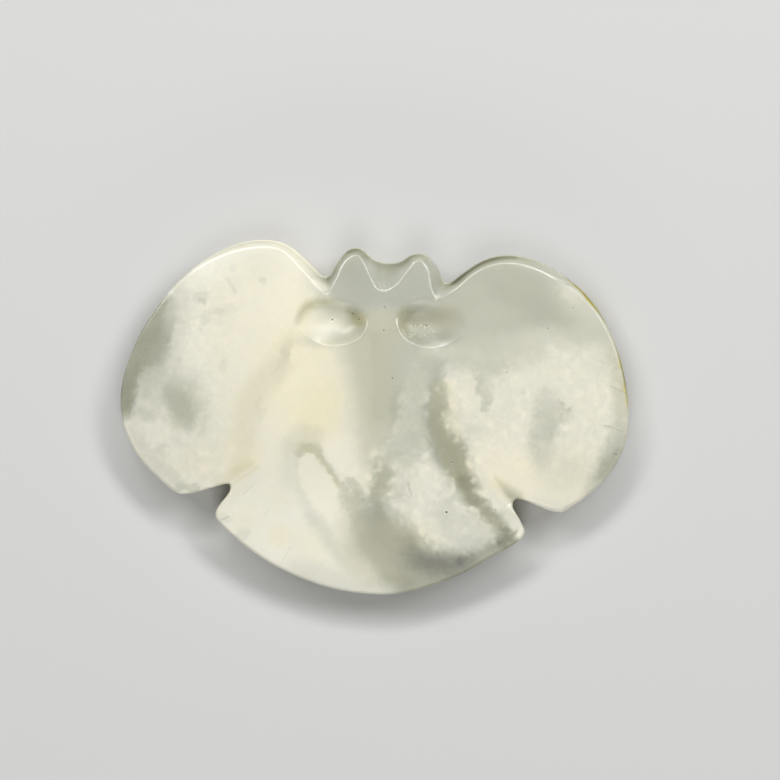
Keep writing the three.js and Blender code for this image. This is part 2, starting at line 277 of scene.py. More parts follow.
HOLLOW_LIP = (0.03, 0.45)
ARRIS = 0.2  # how far the arris at a bevel's foot is rounded over


def rise(t, crisp, width):
    """Height share over the bevel at t of its width: a ground chamfer with softened arrises, or a rounding."""
    foot = ARRIS / bevel_drop(width)
    chamfer = (1 - foot) * t + foot * np.sqrt(1 - (1 - np.clip(t * width / ARRIS, 0, 1)) ** 2)
    rounding = np.sqrt(1 - (1 - np.clip(t, 0, 1)) ** 2)
    k = (0.13 + 0.07 * width) / width  # the crease is rounded over about this share of the bevel to each side
    q = np.clip((1 - chamfer + k) / (2 * k), 0, 1)
    eased = chamfer * q + 1 * (1 - q) - k * q * (1 - q)
    return crisp * eased + (1 - crisp) * rounding


# ---------------------------------------------------------------- the mesh
def lattice(x0, x1, y0, y1, h, rng):
    ys = np.arange(y0, y1, h * 0.866)
    xs = np.arange(x0, x1, h)
    gx, gy = np.meshgrid(xs, ys)
    gx = gx + (np.arange(len(ys)) % 2)[:, None] * h / 2
    p = np.stack([gx.ravel(), gy.ravel()], 1)
    return p + rng.uniform(-0.06, 0.06, p.shape) * h


def inside_polygon(p, ring):
    out = np.zeros(len(p), bool)
    x, y = p[:, 0], p[:, 1]
    for a, b in zip(ring, np.roll(ring, -1, 0)):
        if a[1] == b[1]:
            continue
        crosses = (a[1] > y) != (b[1] > y)
        out ^= crosses & (x < (b[0] - a[0]) * (y - a[1]) / (b[1] - a[1]) + a[0])
    return out


def clear_of(p, ring, gap):
    """Which points lie farther than gap from every point of the ring."""
    keep = np.ones(len(p), bool)
    for k in range(0, len(p), 4000):
        q = p[k : k + 4000]
        d = ((q[:, None, :] - ring[None, :, :]) ** 2).sum(2).min(1)
        keep[k : k + 4000] = d > gap * gap
    return keep


def detail(p):
    """0 on the plain of a wing, up to 1 where the face has fine relief."""
    x, y = p[:, 0], p[:, 1]
    d = np.zeros(len(p))
    for h in HOLLOWS:
        u, v = hollow_at(h, x, y)
        d = np.maximum(d, 1 - smooth((np.hypot(u, v) - 1.12) / 0.25))
    for g in GROOVES:
        ux, uy = math.cos(math.radians(g["angle"])), math.sin(math.radians(g["angle"]))
        cx, cy = g["x"] + ux * 2.2, g["y"] + uy * 2.2
        d = np.maximum(d, 1 - smooth((np.hypot(x - cx, y - cy) - 3.2) / 1.0))
    d = np.maximum(d, smooth((y - 15.5) / 1.5) * (1 - smooth((np.abs(x - 1.9) - 7.5) / 1.5)))
    d = np.maximum(d, 1 - smooth((np.hypot((x + 7.5) / 4.5, (y + 8.5) / 6.5) - 1) / 0.2))
    for px, py, r, _ in PITS:
        d = np.maximum(d, 1.0 * (np.hypot(x - px, y - py) < 3.0 * r))
    return d


def fill(ring, spacings, rng):
    """Triangles inside a closed ring of points, with points of a lattice whose spacing depends on the detail."""
    lo, hi = ring.min(0), ring.max(0)
    parts = []
    for spacing, low, high in spacings:
        p = lattice(lo[0], hi[0], lo[1], hi[1], spacing, rng)
        p = p[inside_polygon(p, ring)]
        d = detail(p)
        p = p[(d >= low) & (d < high)]
        parts.append(p[clear_of(p, ring, spacing * 0.55)])
    inner = np.vstack(parts)
    n = len(ring)
    points = np.vstack([ring, inner])
    out, _, tris, origin, _, _ = delaunay_2d_cdt(
        [Vector(p) for p in points.tolist()], [(i, (i + 1) % n) for i in range(n)], [], 1, 1e-7
    )
    back = [o[0] for o in origin]
    return inner, np.array([[back[i] for i in t] for t in tris])


def stone_mesh(coarse=False):
    """The stone's points and faces, and for each point how near it is to the silhouette and what the rim is like."""
    rng = np.random.default_rng(7)
    step = 0.6 if coarse else 0.25
    o = outline(step)
    n = len(o)
    crisp, room = o[:, 5], o[:, 6]
    width = inset(o[:, 4], room, 0.92)
    back_room = evened(room, max(1, round(2.4 / step)))

    def at(d):
        return o[:, 0:2] + o[:, 2:4] * d[:, None]

    crease = at(width)
    rim_z = plain_face(crease[:, 0], crease[:, 1]) - bevel_drop(width)
    rim_z = np.mean([np.roll(rim_z, k) for k in range(-3, 4)], axis=0)

    rings, nearness = [], []  # from the flat of the back, round the rim and up to the face
    flat = at(inset(BACK_ROUND, back_room, 0.45))
    rings.append(np.column_stack([flat, np.zeros(n)]))
    for t in (0.9, 0.7, 0.5, 0.33, 0.18, 0.07, 0.0):
        z = RIM_FOOT_Z * (1 - math.sqrt(1 - (1 - t) ** 2))
        rings.append(np.column_stack([at(inset(BACK_ROUND * t, back_room, 0.45)), np.full(n, z)]))
    for t in (0.33, 0.67, 1.0):
        rings.append(np.column_stack([o[:, 0:2], RIM_FOOT_Z + t * (rim_z - RIM_FOOT_Z)]))
    nearness += [np.ones(n)] * len(rings)
    fine = np.minimum(0.2 / width, 0.3)
    for t in (0.01, 0.035, 0.075, 0.13, 0.2, 0.3, 0.44, 0.58, 0.72, 0.86):
        rings.append(t * (1 - fine))
    for t in (-1.0, -0.5, 0.0, 0.5, 1.0, 1.9):
        rings.append(1 + t * fine)
    for r in range(len(nearness), len(rings)):
        t = rings[r]
        p = at(width * t)
        f = face(p[:, 0], p[:, 1])
        rings[r] = np.column_stack([p, rim_z + (f - rim_z) * rise(t, crisp, width)])
        nearness.append(np.clip(1 - t, 0, 1))

    top_ring = rings[-1][:, :2]
    spacings = [(0.8, -1, 0.5), (0.4, 0.5, 2)] if coarse else [(0.25, -1, 0.5), (0.15, 0.5, 2)]
    inner, top = fill(top_ring, spacings, rng)
    under, bottom = fill(flat, [(1.1, -1, 9)], rng)

    points = np.vstack(
        rings
        + [np.column_stack([inner, face(inner[:, 0], inner[:, 1])])]
        + [np.column_stack([under, np.zeros(len(under))])]
    )
    count = len(rings)
    ring_of = {
        "near": np.concatenate(nearness + [np.zeros(len(inner)), np.ones(len(under))]),
        "width": np.concatenate([np.tile(width, count), np.zeros(len(inner) + len(under))]),
        "crisp": np.concatenate([np.tile(crisp, count), np.zeros(len(inner) + len(under))]),
        "facing": np.concatenate([np.tile(o[:, 2:4], (count, 1)), np.zeros((len(inner) + len(under), 2))]),
    }
    faces = []
    i = np.arange(n)
    j = (i + 1) % n
    for r in range(count - 1):
        a, b = r * n, (r + 1) * n
        faces.append(np.column_stack([a + i, a + j, b + j, b + i]))
    quads = np.vstack(faces)
    last = (count - 1) * n
    start = count * n
    top = np.where(top < n, top + last, top - n + start)
    bottom = np.where(bottom < n, bottom, bottom - n + start + len(inner))[:, ::-1]
    return points, quads, np.vstack([top, bottom]), ring_of


def build(name, points, quads, tris):
    mesh = bpy.data.meshes.new(name)
    mesh.vertices.add(len(points))
    mesh.vertices.foreach_set("co", (points * MM).astype(np.float32).ravel())
    loops = np.concatenate([quads.ravel(), tris.ravel()]).astype(np.int32)
    starts = np.concatenate(
        [np.arange(len(quads)) * 4, len(quads) * 4 + np.arange(len(tris)) * 3]
    ).astype(np.int32)
    mesh.loops.add(len(loops))
    mesh.loops.foreach_set("vertex_index", loops)
    mesh.polygons.add(len(starts))
    mesh.polygons.foreach_set("loop_start", starts)
    mesh.update(calc_edges=True)
    mesh.validate()
    mesh.shade_smooth()
    obj = bpy.data.objects.new(name, mesh)
    bpy.context.scene.collection.objects.link(obj)
    return obj

# ---------------------------------------------------------------- the stone's clouds
# The stone is clear grey-green nephrite with opaque white clouds in it. Each cloud is a closed soft shape; inside
# and outside them the tone and the warmth of the stone are built up from named soft shapes, one over another.
# All in millimetres: a region is a closed smooth line, a stroke a line with a half width, a blob an oval.
CLOUDS = {
    "right_wing": [(22.5, -19.2), (20.8, -18.0), (19.7, -16.5), (18.3, -15.1), (16.3, -13.0), (14.9, -11.0), (13.9, -9.3), (13.1, -7.0), (12.3, -3.9), (10.3, -2.4), (9.4, -0.2), (10.0, 1.4), (9.3, 5.0), (9.6, 7.2), (11.0, 8.4), (14.7, 7.0), (17.8, 6.5), (20.7, 7.8), (24.3, 9.5), (29.2, 10.4), (37.8, 11.2), (41.3, -0.4), (37.8, -17.5)],
    "column": [(8.2, 9.4), (6.0, 5.8), (4.2, 3.1), (3.3, 0.1), (1.9, -2.9), (0.0, -5.0), (-0.5, -6.6), (2.2, -7.0), (2.2, -9.3), (1.9, -10.8), (2.6, -12.8), (4.5, -14.8), (6.9, -17.1), (9.4, -18.7), (13.6, -18.8), (16.6, -18.2), (17.4, -16.5), (16.1, -14.5), (13.3, -12.5), (11.6, -10.3), (10.7, -8.0), (8.6, -6.0), (7.5, -3.3), (7.0, 1.3), (7.6, 5.3)],
    "left_side": [(-8.1, 18.9), (-6.9, 16.6), (-6.1, 13.5), (-5.2, 10.9), (-3.8, 7.0), (-2.7, 2.4), (-2.1, -1.9), (-1.5, -5.7), (0.2, -7.4), (0.0, -9.8), (-1.2, -11.7), (-3.2, -11.0), (-4.1, -12.4), (-3.8, -15.5), (-3.1, -19.0), (0.0, -23.1), (1.6, -26.1), (-10.6, -31.8), (-27.7, -26.1), (-40.5, -9.0), (-40.5, 12.4), (-27.7, 28.0), (-10.6, 29.5)],
}
CLEAR_TONE = 0.52
CLEAR = [  # kind, shape, softness, tone, strength
    ("region", [(-6.4, 25.2), (15.0, 25.2), (13.6, 12.4), (6.5, 10.2), (-6.4, 10.9)], 1.99, 0.466, 1),
    ("blob", (-3.2, 19.5, 2.28, 2.56, 0), 1.71, 0.435, 0.9),
    ("region", [(9.3, 25.2), (39.2, 25.2), (39.2, 14.1), (30.7, 12.1), (20.7, 10.2), (9.3, 10.2)], 2.28, 0.475, 1),
    ("blob", (13.6, 15.2, 3.99, 5.7, 0), 2.85, 0.465, 0.7),
    ("blob", (22.1, 15.5, 5.98, 3.42, 0), 2.56, 0.465, 0.9),
    ("blob", (0.8, 13.5, 2.85, 1.99, 0), 1.42, 0.555, 0.9),
    ("region", [(-5.5, 10.9), (-0.4, 11.7), (-0.1, 2.4), (-1.2, -4.7), (-2.4, -1.9), (-4.6, 5.3)], 1.14, 0.55, 0.9),
    ("region", [(0.2, 11.5), (5.0, 10.9), (4.2, 4.5), (2.5, -0.4), (0.8, 2.4), (0.3, 6.7)], 0.85, 0.522, 1),
    ("region", [(-1.5, -1.2), (1.5, -1.2), (0.5, -5.0), (-1.2, -6.8)], 1.0, 0.575, 1),
    ("stroke", [(9.0, 6.4, 0.57), (8.5, 3.5, 1.42), (8.9, 0.3, 1.99), (10.2, -4.0, 2.42), (11.6, -6.8, 2.42), (12.9, -9.3, 1.99), (14.1, -11.8, 1.71), (16.1, -14.1, 1.42), (17.8, -16.1, 1.28), (19.6, -18.1, 1.42)], 0.85, 0.385, 1),
    ("stroke", [(9.3, 7.2, 0.71), (8.9, 5.0, 1.14), (8.7, 2.7, 1.57)], 0.9, 0.445, 0.95),
    ("stroke", [(12.6, -9.0, 1.0), (13.6, -10.4, 1.28), (15.0, -12.7, 1.28), (17.0, -15.2, 1.14)], 0.6, 0.29, 0.9),
    ("blob", (13.6, -12.1, 1.0, 1.42, 30), 0.5, 0.25, 0.8),
    ("blob", (18.7, -17.2, 2.56, 1.57, 30), 0.8, 0.13, 0.95),
    ("blob", (1.0, -8.4, 1.57, 1.99, 0), 0.4, 0.455, 1),
    ("region", [(-1.2, -11.8), (1.3, -12.4), (3.0, -16.1), (7.2, -19.2), (12.2, -20.1), (17.8, -19.2), (20.7, -17.5), (17.8, -23.2), (6.5, -26.1), (1.5, -26.1), (-0.4, -21.8), (-2.4, -18.2), (-3.2, -14.7)], 0.85, 0.375, 1),
    ("blob", (-1.2, -17.5, 2.28, 3.13, -20), 1.71, 0.34, 0.85),
    ("blob", (0.2, -14.7, 1.42, 3.13, 15), 0.9, 0.315, 0.9),
    ("blob", (3.3, -19.0, 3.42, 5.13, 0), 1.99, 0.33, 0.85),
    ("blob", (-0.9, -11.0, 1.85, 2.14, 0), 1.14, 0.39, 0.85),
    ("region", [(4.7, -17.5), (7.9, -19.0), (11.4, -19.8), (16.4, -19.2), (16.1, -20.7), (12.7, -22.2), (9.3, -23.1), (6.2, -22.1)], 2.85, 0.205, 1),
    ("blob", (9.3, -20.5, 3.99, 1.57, -6), 1.49, 0.13, 0.9),
    ("blob", (2.5, -23.8, 3.7, 1.42, 8), 0.8, 0.285, 0.9),
    ("blob", (3.2, 2.1, 1.0, 2.56, -8), 0.7, 0.45, 0.8),
    ("region", [(15.0, -19.8), (20.7, -17.5), (23.5, -17.5), (20.7, -20.4), (13.6, -23.5)], 0.85, 0.36, 0.7),
    ("blob", (29.5, 16.4, 4.84, 2.42, -48), 2.56, 0.6, 1),
    ("blob", (27.8, 17.9, 1.57, 1.14, -40), 0.8, 0.67, 0.8),
    ("blob", (32.9, 11.5, 2.14, 3.7, 20), 1.99, 0.6, 0.9),
    ("stroke", [(13.6, 21.2, 0.71), (17.8, 22.1, 0.85), (23.5, 21.5, 0.85), (28.5, 19.5, 0.85)], 0.57, 0.51, 0.8),
    ("stroke", [(7.9, 9.2, 1.14), (10.7, 9.2, 1.14), (14.3, 9.0, 0.85)], 0.9, 0.6, 0.9),
    ("stroke", [(12.4, 11.2, 1.42), (15.3, 10.9, 1.71), (18.6, 10.1, 1.28)], 1.79, 0.575, 0.85),
    ("blob", (13.6, 16.1, 3.13, 4.27, 0), 2.28, 0.51, 0.8),
    ("blob", (16.4, 14.1, 3.7, 1.85, 0), 1.71, 0.54, 0.8),
    ("region", [(13.6, 8.7), (17.8, 9.7), (22.1, 10.8), (26.7, 11.8), (32.1, 13.5), (36.1, 12.9), (36.6, 9.2), (26.4, 6.1), (17.8, 6.1)], 2.14, 0.61, 0.85),
    ("blob", (22.7, 11.2, 3.42, 1.71, 0), 1.49, 0.63, 0.8),
    ("blob", (30.9, 11.5, 3.7, 1.85, 20), 1.99, 0.55, 0.85),
]
CLOUD_TONE = 0.79
CLOUDY = [
    ("region", [(-36.3, 25.2), (-24.9, 25.2), (-20.6, 12.4), (-22.7, -0.4), (-20.6, -9.0), (-27.7, -11.8), (-37.7, -3.3)], 3.7, 0.76, 0.9),
    ("blob", (-24.2, 10.2, 3.7, 4.84, 0), 2.56, 0.81, 1),
    ("blob", (-16.0, 21.5, 6.26, 2.85, 4), 1.99, 0.75, 1),
    ("blob", (-23.2, 20.2, 3.7, 2.56, 30), 1.99, 0.79, 0.8),
    ("blob", (-10.6, 9.5, 5.7, 13.53, 0), 3.7, 0.84, 1),
    ("blob", (-19.2, 12.4, 4.27, 8.54, 0), 3.42, 0.81, 0.8),
    ("stroke", [(-11.8, 10.9, 1.0), (-12.8, 8.8, 1.42), (-14.2, 6.4, 1.85), (-16.3, 3.8, 1.99), (-17.7, 1.0, 1.99), (-18.3, -2.1, 1.71)], 1.28, 0.735, 0.95),
    ("stroke", [(-11.9, 10.8, 0.28), (-12.3, 9.4, 0.57), (-13.3, 8.0, 0.43), (-14.5, 6.1, 0.28)], 0.36, 0.69, 0.6),
    ("blob", (-12.5, 9.1, 0.57, 0.71, -20), 0.23, 0.65, 0.7),
    ("stroke", [(-16.0, 2.7, 0.28), (-16.5, 1.3, 0.36), (-16.0, -0.2, 0.36)], 0.23, 0.69, 0.7),
    ("blob", (-11.1, 9.2, 0.71, 1.42, -20), 0.28, 0.84, 0.8),
    ("blob", (-16.0, 0.3, 0.85, 1.42, -20), 0.43, 0.74, 0.7),
    ("blob", (-7.1, 0.7, 2.85, 3.13, 0), 1.99, 0.82, 0.9),
    ("stroke", [(-28.0, 18.4, 1.42), (-27.4, 15.2, 1.71), (-28.0, 10.9, 1.42), (-29.1, 7.4, 1.28)], 1.4, 0.68, 0.9),
    ("stroke", [(-29.6, 16.6, 0.71), (-30.3, 14.5, 1.42), (-31.3, 12.1, 2.42), (-32.3, 9.5, 2.56), (-33.7, 7.0, 2.14), (-35.1, 4.4, 1.71), (-35.4, 2.1, 1.57), (-34.8, 0.4, 0.71)], 1.0, 0.36, 1),
    ("stroke", [(-29.1, 13.8, 0.85), (-29.8, 10.2, 1.0), (-30.8, 7.8, 1.28)], 0.8, 0.42, 0.6),
    ("blob", (-31.6, 4.4, 2.56, 2.14, 0), 1.42, 0.54, 0.85),
    ("blob", (-30.6, 5.8, 2.28, 1.14, 0), 0.8, 0.52, 0.7),
    ("blob", (-28.7, 15.1, 1.0, 1.99, -10), 0.7, 0.5, 0.7),
    ("blob", (-27.3, 2.1, 3.56, 4.84, 14), 1.71, 0.62, 0.9),
    ("blob", (-27.4, 1.7, 1.71, 3.13, 25), 0.9, 0.475, 1),
    ("blob", (-28.9, 3.0, 1.14, 1.0, 0), 0.6, 0.49, 0.7),
    ("blob", (-26.9, 4.7, 1.99, 0.85, 0), 0.43, 0.6, 0.5),
    ("blob", (-24.2, -1.2, 0.85, 1.42, 10), 0.43, 0.66, 0.7),
    ("blob", (-32.8, 0.4, 1.71, 1.28, 0), 0.6, 0.56, 0.8),
    ("stroke", [(-34.0, 6.4, 0.85), (-34.7, 3.8, 1.0), (-34.8, 1.6, 1.0), (-34.5, 0.1, 0.57)], 0.6, 0.33, 0.85),
    ("region", [(-34.8, -0.4), (-30.6, -1.2), (-24.9, -3.3), (-22.7, -7.6), (-26.3, -11.1), (-30.6, -8.3), (-34.1, -4.7)], 1.71, 0.765, 0.9),
    ("blob", (-24.9, -5.4, 3.13, 1.99, 0), 1.71, 0.755, 0.8),
    ("blob", (-27.4, -3.4, 1.71, 0.71, -10), 0.43, 0.64, 0.5),
    ("blob", (-30.1, -4.7, 1.14, 1.28, -30), 0.7, 0.63, 0.6),
    ("stroke", [(-34.0, -1.3, 0.71), (-32.8, -4.4, 1.0), (-30.6, -7.3, 1.0), (-27.4, -9.4, 0.71)], 0.8, 0.6, 0.55),
    ("stroke", [(-27.7, -9.6, 0.43), (-26.3, -9.8, 0.57), (-24.9, -10.1, 0.43)], 0.28, 0.54, 0.7),
    ("blob", (-24.4, 17.1, 1.14, 0.71, 20), 0.28, 0.66, 0.8),
    ("blob", (-24.2, 16.5, 0.57, 0.43, 0), 0.23, 0.56, 0.6),
    ("blob", (-27.4, 13.8, 0.85, 0.71, 0), 0.28, 0.6, 0.7),
    ("blob", (-23.9, 14.1, 0.71, 1.14, -10), 0.28, 0.68, 0.6),
    ("blob", (-22.2, 14.9, 0.71, 0.57, 0), 0.28, 0.68, 0.6),
    ("blob", (-20.3, 15.2, 1.28, 0.85, 30), 0.43, 0.745, 0.7),
    ("blob", (-21.4, 7.2, 0.71, 1.0, -10), 0.28, 0.72, 0.7),
    ("blob", (-27.4, 8.0, 0.43, 0.43, 0), 0.23, 0.62, 0.7),
    ("blob", (-15.9, 19.3, 0.43, 0.57, 20), 0.23, 0.68, 0.8),
    ("blob", (-19.9, 21.3, 0.57, 0.71, -30), 0.28, 0.7, 0.7),
    ("stroke", [(-20.9, 19.8, 0.21), (-20.2, 18.8, 0.28), (-19.7, 17.8, 0.21)], 0.23, 0.68, 0.8),
    ("stroke", [(-19.7, -7.6, 0.43), (-18.6, -5.4, 1.28), (-18.3, -3.3, 1.28)], 0.8, 0.745, 0.9),
    ("blob", (-32.0, -6.8, 1.71, 1.14, -40), 0.8, 0.68, 0.6),
    ("region", [(-20.3, -9.8), (-16.0, -6.4), (-12.1, -7.6), (-10.6, -14.7), (-9.2, -20.4), (-12.1, -22.5), (-22.7, -14.7)], 1.42, 0.775, 0.9),
    ("blob", (-18.7, -16.7, 1.0, 0.85, 0), 0.36, 0.66, 0.8),
    ("blob", (-21.2, -14.3, 1.14, 0.57, -30), 0.28, 0.66, 0.6),
    ("blob", (-7.8, -22.1, 4.84, 1.71, -18), 1.0, 0.675, 0.9),
    ("blob", (-16.0, -19.7, 3.13, 1.14, -35), 0.8, 0.74, 0.7),
    ("stroke", [(-12.1, -8.7, 1.0), (-12.1, -5.7, 1.28), (-11.3, -3.6, 1.42), (-9.8, -2.3, 1.28), (-7.9, -2.3, 0.85)], 1.2, 0.715, 0.95),
    ("blob", (-9.3, -4.1, 1.71, 1.0, 5), 0.9, 0.635, 0.9),
    ("stroke", [(-11.1, -5.9, 0.71), (-10.6, -8.7, 0.85), (-9.6, -11.8, 1.0), (-7.8, -14.7, 1.14), (-5.5, -17.1, 1.14), (-3.5, -19.4, 1.14), (-1.5, -21.8, 1.14)], 0.9, 0.705, 0.95),
    ("stroke", [(-10.6, -5.0, 0.43), (-9.6, -4.3, 0.64), (-8.4, -4.6, 0.71), (-7.4, -5.9, 0.71), (-6.4, -7.4, 0.57), (-5.2, -9.0, 0.5), (-4.1, -10.7, 0.43)], 0.43, 0.565, 0.95),
    ("stroke", [(-4.5, -9.8, 0.57), (-3.5, -12.1, 0.71), (-3.2, -15.2, 0.85)], 0.43, 0.62, 0.9),
    ("stroke", [(-9.2, -14.1, 0.71), (-7.8, -16.1, 1.0), (-5.9, -18.2, 1.0), (-4.1, -20.4, 1.0), (-1.8, -22.9, 1.14)], 0.9, 0.62, 0.8),
    ("blob", (-9.8, -17.2, 2.28, 1.99, 0), 1.42, 0.755, 0.6),
    ("region", [(-10.3, -5.9), (-9.3, -5.1), (-8.2, -5.6), (-6.5, -7.8), (-4.8, -10.4), (-3.8, -13.0), (-3.7, -15.5), (-4.6, -16.8), (-6.5, -14.7), (-8.6, -12.4), (-10.1, -10.0), (-10.8, -7.6)], 0.43, 0.795, 1),
    ("blob", (-4.8, -15.8, 1.28, 1.71, 20), 0.8, 0.725, 0.9),
    ("blob", (-13.2, -16.8, 1.28, 1.28, 0), 0.6, 0.765, 0.9),
    ("stroke", [(-4.1, -18.7, 0.71), (-2.7, -20.9, 0.85), (-0.9, -23.5, 0.85)], 0.5, 0.66, 0.8),
    ("region", [(-10.6, -21.2), (-4.9, -22.7), (-0.4, -24.1), (-0.4, -26.1), (-10.6, -26.1), (-14.9, -21.8)], 1.28, 0.62, 0.8),
    ("region", [(-6.9, -4.7), (-4.9, -1.9), (-2.1, -3.3), (-1.7, -7.3), (-3.2, -8.4), (-4.9, -7.3)], 0.85, 0.83, 1),
    ("stroke", [(-3.5, -9.0, 0.71), (-2.4, -10.1, 0.85), (-1.8, -11.3, 0.57)], 0.36, 0.6, 0.85),
    ("blob", (-4.4, -11.0, 0.85, 1.14, 0), 0.36, 0.6, 0.6),
    ("region", [(7.2, 9.5), (8.7, 8.1), (7.6, 2.4), (8.2, -3.3), (3.6, -5.9), (-0.4, -6.4), (2.9, -1.9), (4.2, 3.1)], 1.0, 0.6, 1),
    ("blob", (7.6, 7.8, 1.14, 1.42, 0), 0.6, 0.555, 0.7),
    ("blob", (5.3, -3.0, 1.14, 0.85, 0), 0.36, 0.55, 0.5),
    ("blob", (3.3, -5.0, 1.71, 0.57, 10), 0.36, 0.545, 0.6),
    ("stroke", [(3.9, -5.0, 0.28), (5.3, -5.6, 0.36), (6.2, -5.3, 0.28)], 0.23, 0.5, 0.7),
    ("stroke", [(6.0, -6.4, 0.21), (6.2, -8.1, 0.21)], 0.23, 0.6, 0.6),
    ("region", [(2.8, -6.4), (9.3, -6.4), (11.9, -11.4), (11.0, -14.7), (9.3, -18.7), (5.7, -17.5), (2.2, -13.3), (3.0, -9.0)], 1.0, 0.73, 1),
    ("blob", (7.6, -8.7, 1.71, 1.71, 0), 0.8, 0.8, 0.9),
    ("blob", (3.6, -10.4, 1.28, 1.99, 0), 0.6, 0.65, 0.8),
    ("blob", (4.2, -6.1, 2.14, 1.0, 0), 0.6, 0.6, 0.75),
    ("blob", (6.2, -13.0, 2.85, 1.99, 0), 1.42, 0.74, 0.7),
    ("region", [(9.3, -11.3), (13.6, -13.5), (17.4, -15.2), (17.4, -18.2), (13.6, -19.5), (10.2, -19.2), (9.0, -14.7)], 1.14, 0.61, 0.9),
    ("blob", (14.4, -18.4, 2.56, 1.14, 0), 0.7, 0.52, 0.8),
    ("blob", (11.9, -16.1, 1.0, 0.85, 0), 0.36, 0.67, 0.6),
    ("blob", (10.7, -9.3, 0.71, 1.71, 0), 0.36, 0.66, 0.6),
    ("blob", (10.3, -11.8, 0.57, 0.85, 0), 0.28, 0.62, 0.6),
    ("blob", (12.4, -11.1, 0.71, 0.85, 0), 0.36, 0.62, 0.5),
    ("blob", (4.3, -10.3, 0.85, 0.71, 0), 0.28, 0.655, 0.8),
    ("stroke", [(4.6, -9.3, 0.04), (5.0, -10.0, 0.1), (5.2, -10.7, 0.07)], 0.23, 0.5, 0.9),
    ("stroke", [(3.5, -10.9, 0.06), (4.2, -10.7, 0.09), (5.0, -11.0, 0.06)], 0.23, 0.56, 0.8),
    ("blob", (3.3, -10.7, 0.43, 0.28, 0), 0.23, 0.56, 0.8),
    ("blob", (8.2, -17.5, 0.43, 0.57, 0), 0.23, 0.55, 0.7),
    ("blob", (12.4, 5.7, 1.99, 1.71, -20), 0.9, 0.745, 1),
    ("blob", (10.6, 7.0, 0.85, 0.85, 0), 0.28, 0.62, 0.7),
    ("blob", (11.7, 8.0, 1.14, 0.85, 0), 0.36, 0.74, 0.8),
    ("region", [(10.2, 6.4), (12.4, 6.4), (13.6, 5.3), (14.7, 3.3), (14.4, -0.4), (12.2, -2.7), (10.2, -1.9), (10.2, 2.4)], 1.0, 0.775, 0.9),
    ("region", [(9.3, 9.2), (13.6, 9.2), (17.8, 7.8), (17.8, 5.8), (15.6, 5.3), (13.0, 7.0), (10.4, 6.4)], 1.0, 0.645, 0.9),
    ("stroke", [(14.9, 5.3, 0.57), (15.1, 3.8, 0.71), (15.9, 2.7, 0.71), (15.7, 1.1, 0.57)], 0.36, 0.59, 0.9),
    ("blob", (16.0, 4.1, 1.0, 1.71, 10), 0.6, 0.68, 0.6),
    ("blob", (17.8, 7.5, 1.85, 1.0, 0), 0.6, 0.555, 0.9),
    ("blob", (16.1, 7.0, 1.99, 1.0, 0), 0.7, 0.64, 0.7),
    ("blob", (11.4, 0.7, 1.28, 1.99, 0), 0.6, 0.7, 0.5),
    ("blob", (11.0, -2.1, 1.28, 0.71, 0), 0.28, 0.77, 0.8),
    ("blob", (14.4, -2.4, 1.85, 1.28, -10), 0.7, 0.64, 0.8),
    ("blob", (13.0, -5.0, 0.85, 1.99, 10), 0.43, 0.62, 0.7),
    ("blob", (18.6, -2.7, 2.28, 1.99, 0), 1.28, 0.74, 0.5),
    ("blob", (18.6, -6.1, 6.41, 3.7, -12), 2.56, 0.83, 1),
    ("blob", (15.0, -10.4, 1.42, 2.56, 30), 0.8, 0.76, 0.6),
    ("blob", (18.6, -14.7, 1.99, 1.71, 40), 0.8, 0.7, 0.8),
    ("blob", (26.4, -7.6, 3.7, 2.85, 0), 1.99, 0.735, 0.8),
    ("blob", (23.5, 9.5, 7.12, 1.99, 4), 1.99, 0.74, 0.8),
    ("blob", (33.5, 9.5, 2.56, 4.84, 0), 1.99, 0.69, 0.8),
    ("blob", (24.0, -1.4, 1.71, 4.56, -8), 1.2, 0.57, 0.9),
    ("blob", (24.7, 2.1, 1.99, 1.42, 0), 0.8, 0.67, 0.7),
    ("blob", (26.4, 0.6, 1.42, 1.42, 0), 0.9, 0.63, 0.8),
    ("blob", (26.5, 2.0, 0.43, 0.28, -20), 0.23, 0.55, 0.8),
    ("blob", (27.4, 1.3, 0.5, 0.28, 30), 0.23, 0.53, 0.8),
    ("blob", (26.2, 0.3, 0.28, 0.43, 0), 0.23, 0.56, 0.8),
    ("blob", (24.7, -2.7, 0.28, 0.71, -10), 0.23, 0.56, 0.7),
    ("blob", (23.8, -4.7, 1.42, 1.99, 0), 0.8, 0.68, 0.6),
    ("blob", (29.2, 3.1, 1.14, 0.71, 0), 0.43, 0.74, 0.5),
    ("blob", (31.8, 2.4, 3.13, 3.13, 0), 1.99, 0.8, 0.6),
    ("blob", (32.1, -3.3, 2.56, 1.99, 0), 1.42, 0.78, 0.6),
    ("stroke", [(32.9, 12.4, 0.85), (34.1, 9.5, 1.28), (34.9, 6.1, 1.0), (35.2, 3.0, 1.0), (35.1, -0.4, 1.14), (34.5, -3.6, 1.28), (32.9, -6.4, 1.14)], 1.1, 0.58, 0.8),
    ("stroke", [(35.9, -2.4, 0.71), (34.6, -4.7, 1.42), (33.2, -7.0, 1.57), (32.1, -8.7, 1.28), (30.4, -10.4, 0.71)], 1.3, 0.52, 0.85),
    ("stroke", [(34.8, -5.0, 0.43), (33.2, -7.1, 0.71), (32.1, -8.7, 0.43)], 0.71, 0.4, 0.8),
    ("stroke", [(32.1, -1.0, 0.11), (33.8, -1.4, 0.14), (35.8, -2.3, 0.14)], 0.23, 0.66, 0.7),
    ("stroke", [(33.5, 4.4, 0.14), (34.6, 3.7, 0.17), (35.8, 3.4, 0.14)], 0.23, 0.66, 0.6),
    ("blob", (30.9, -1.6, 0.71, 1.14, 0), 0.36, 0.74, 0.4),
    ("blob", (26.4, -12.5, 4.27, 0.85, -10), 0.43, 0.72, 0.7),
]
PLAIN_WARMTH = 0.22
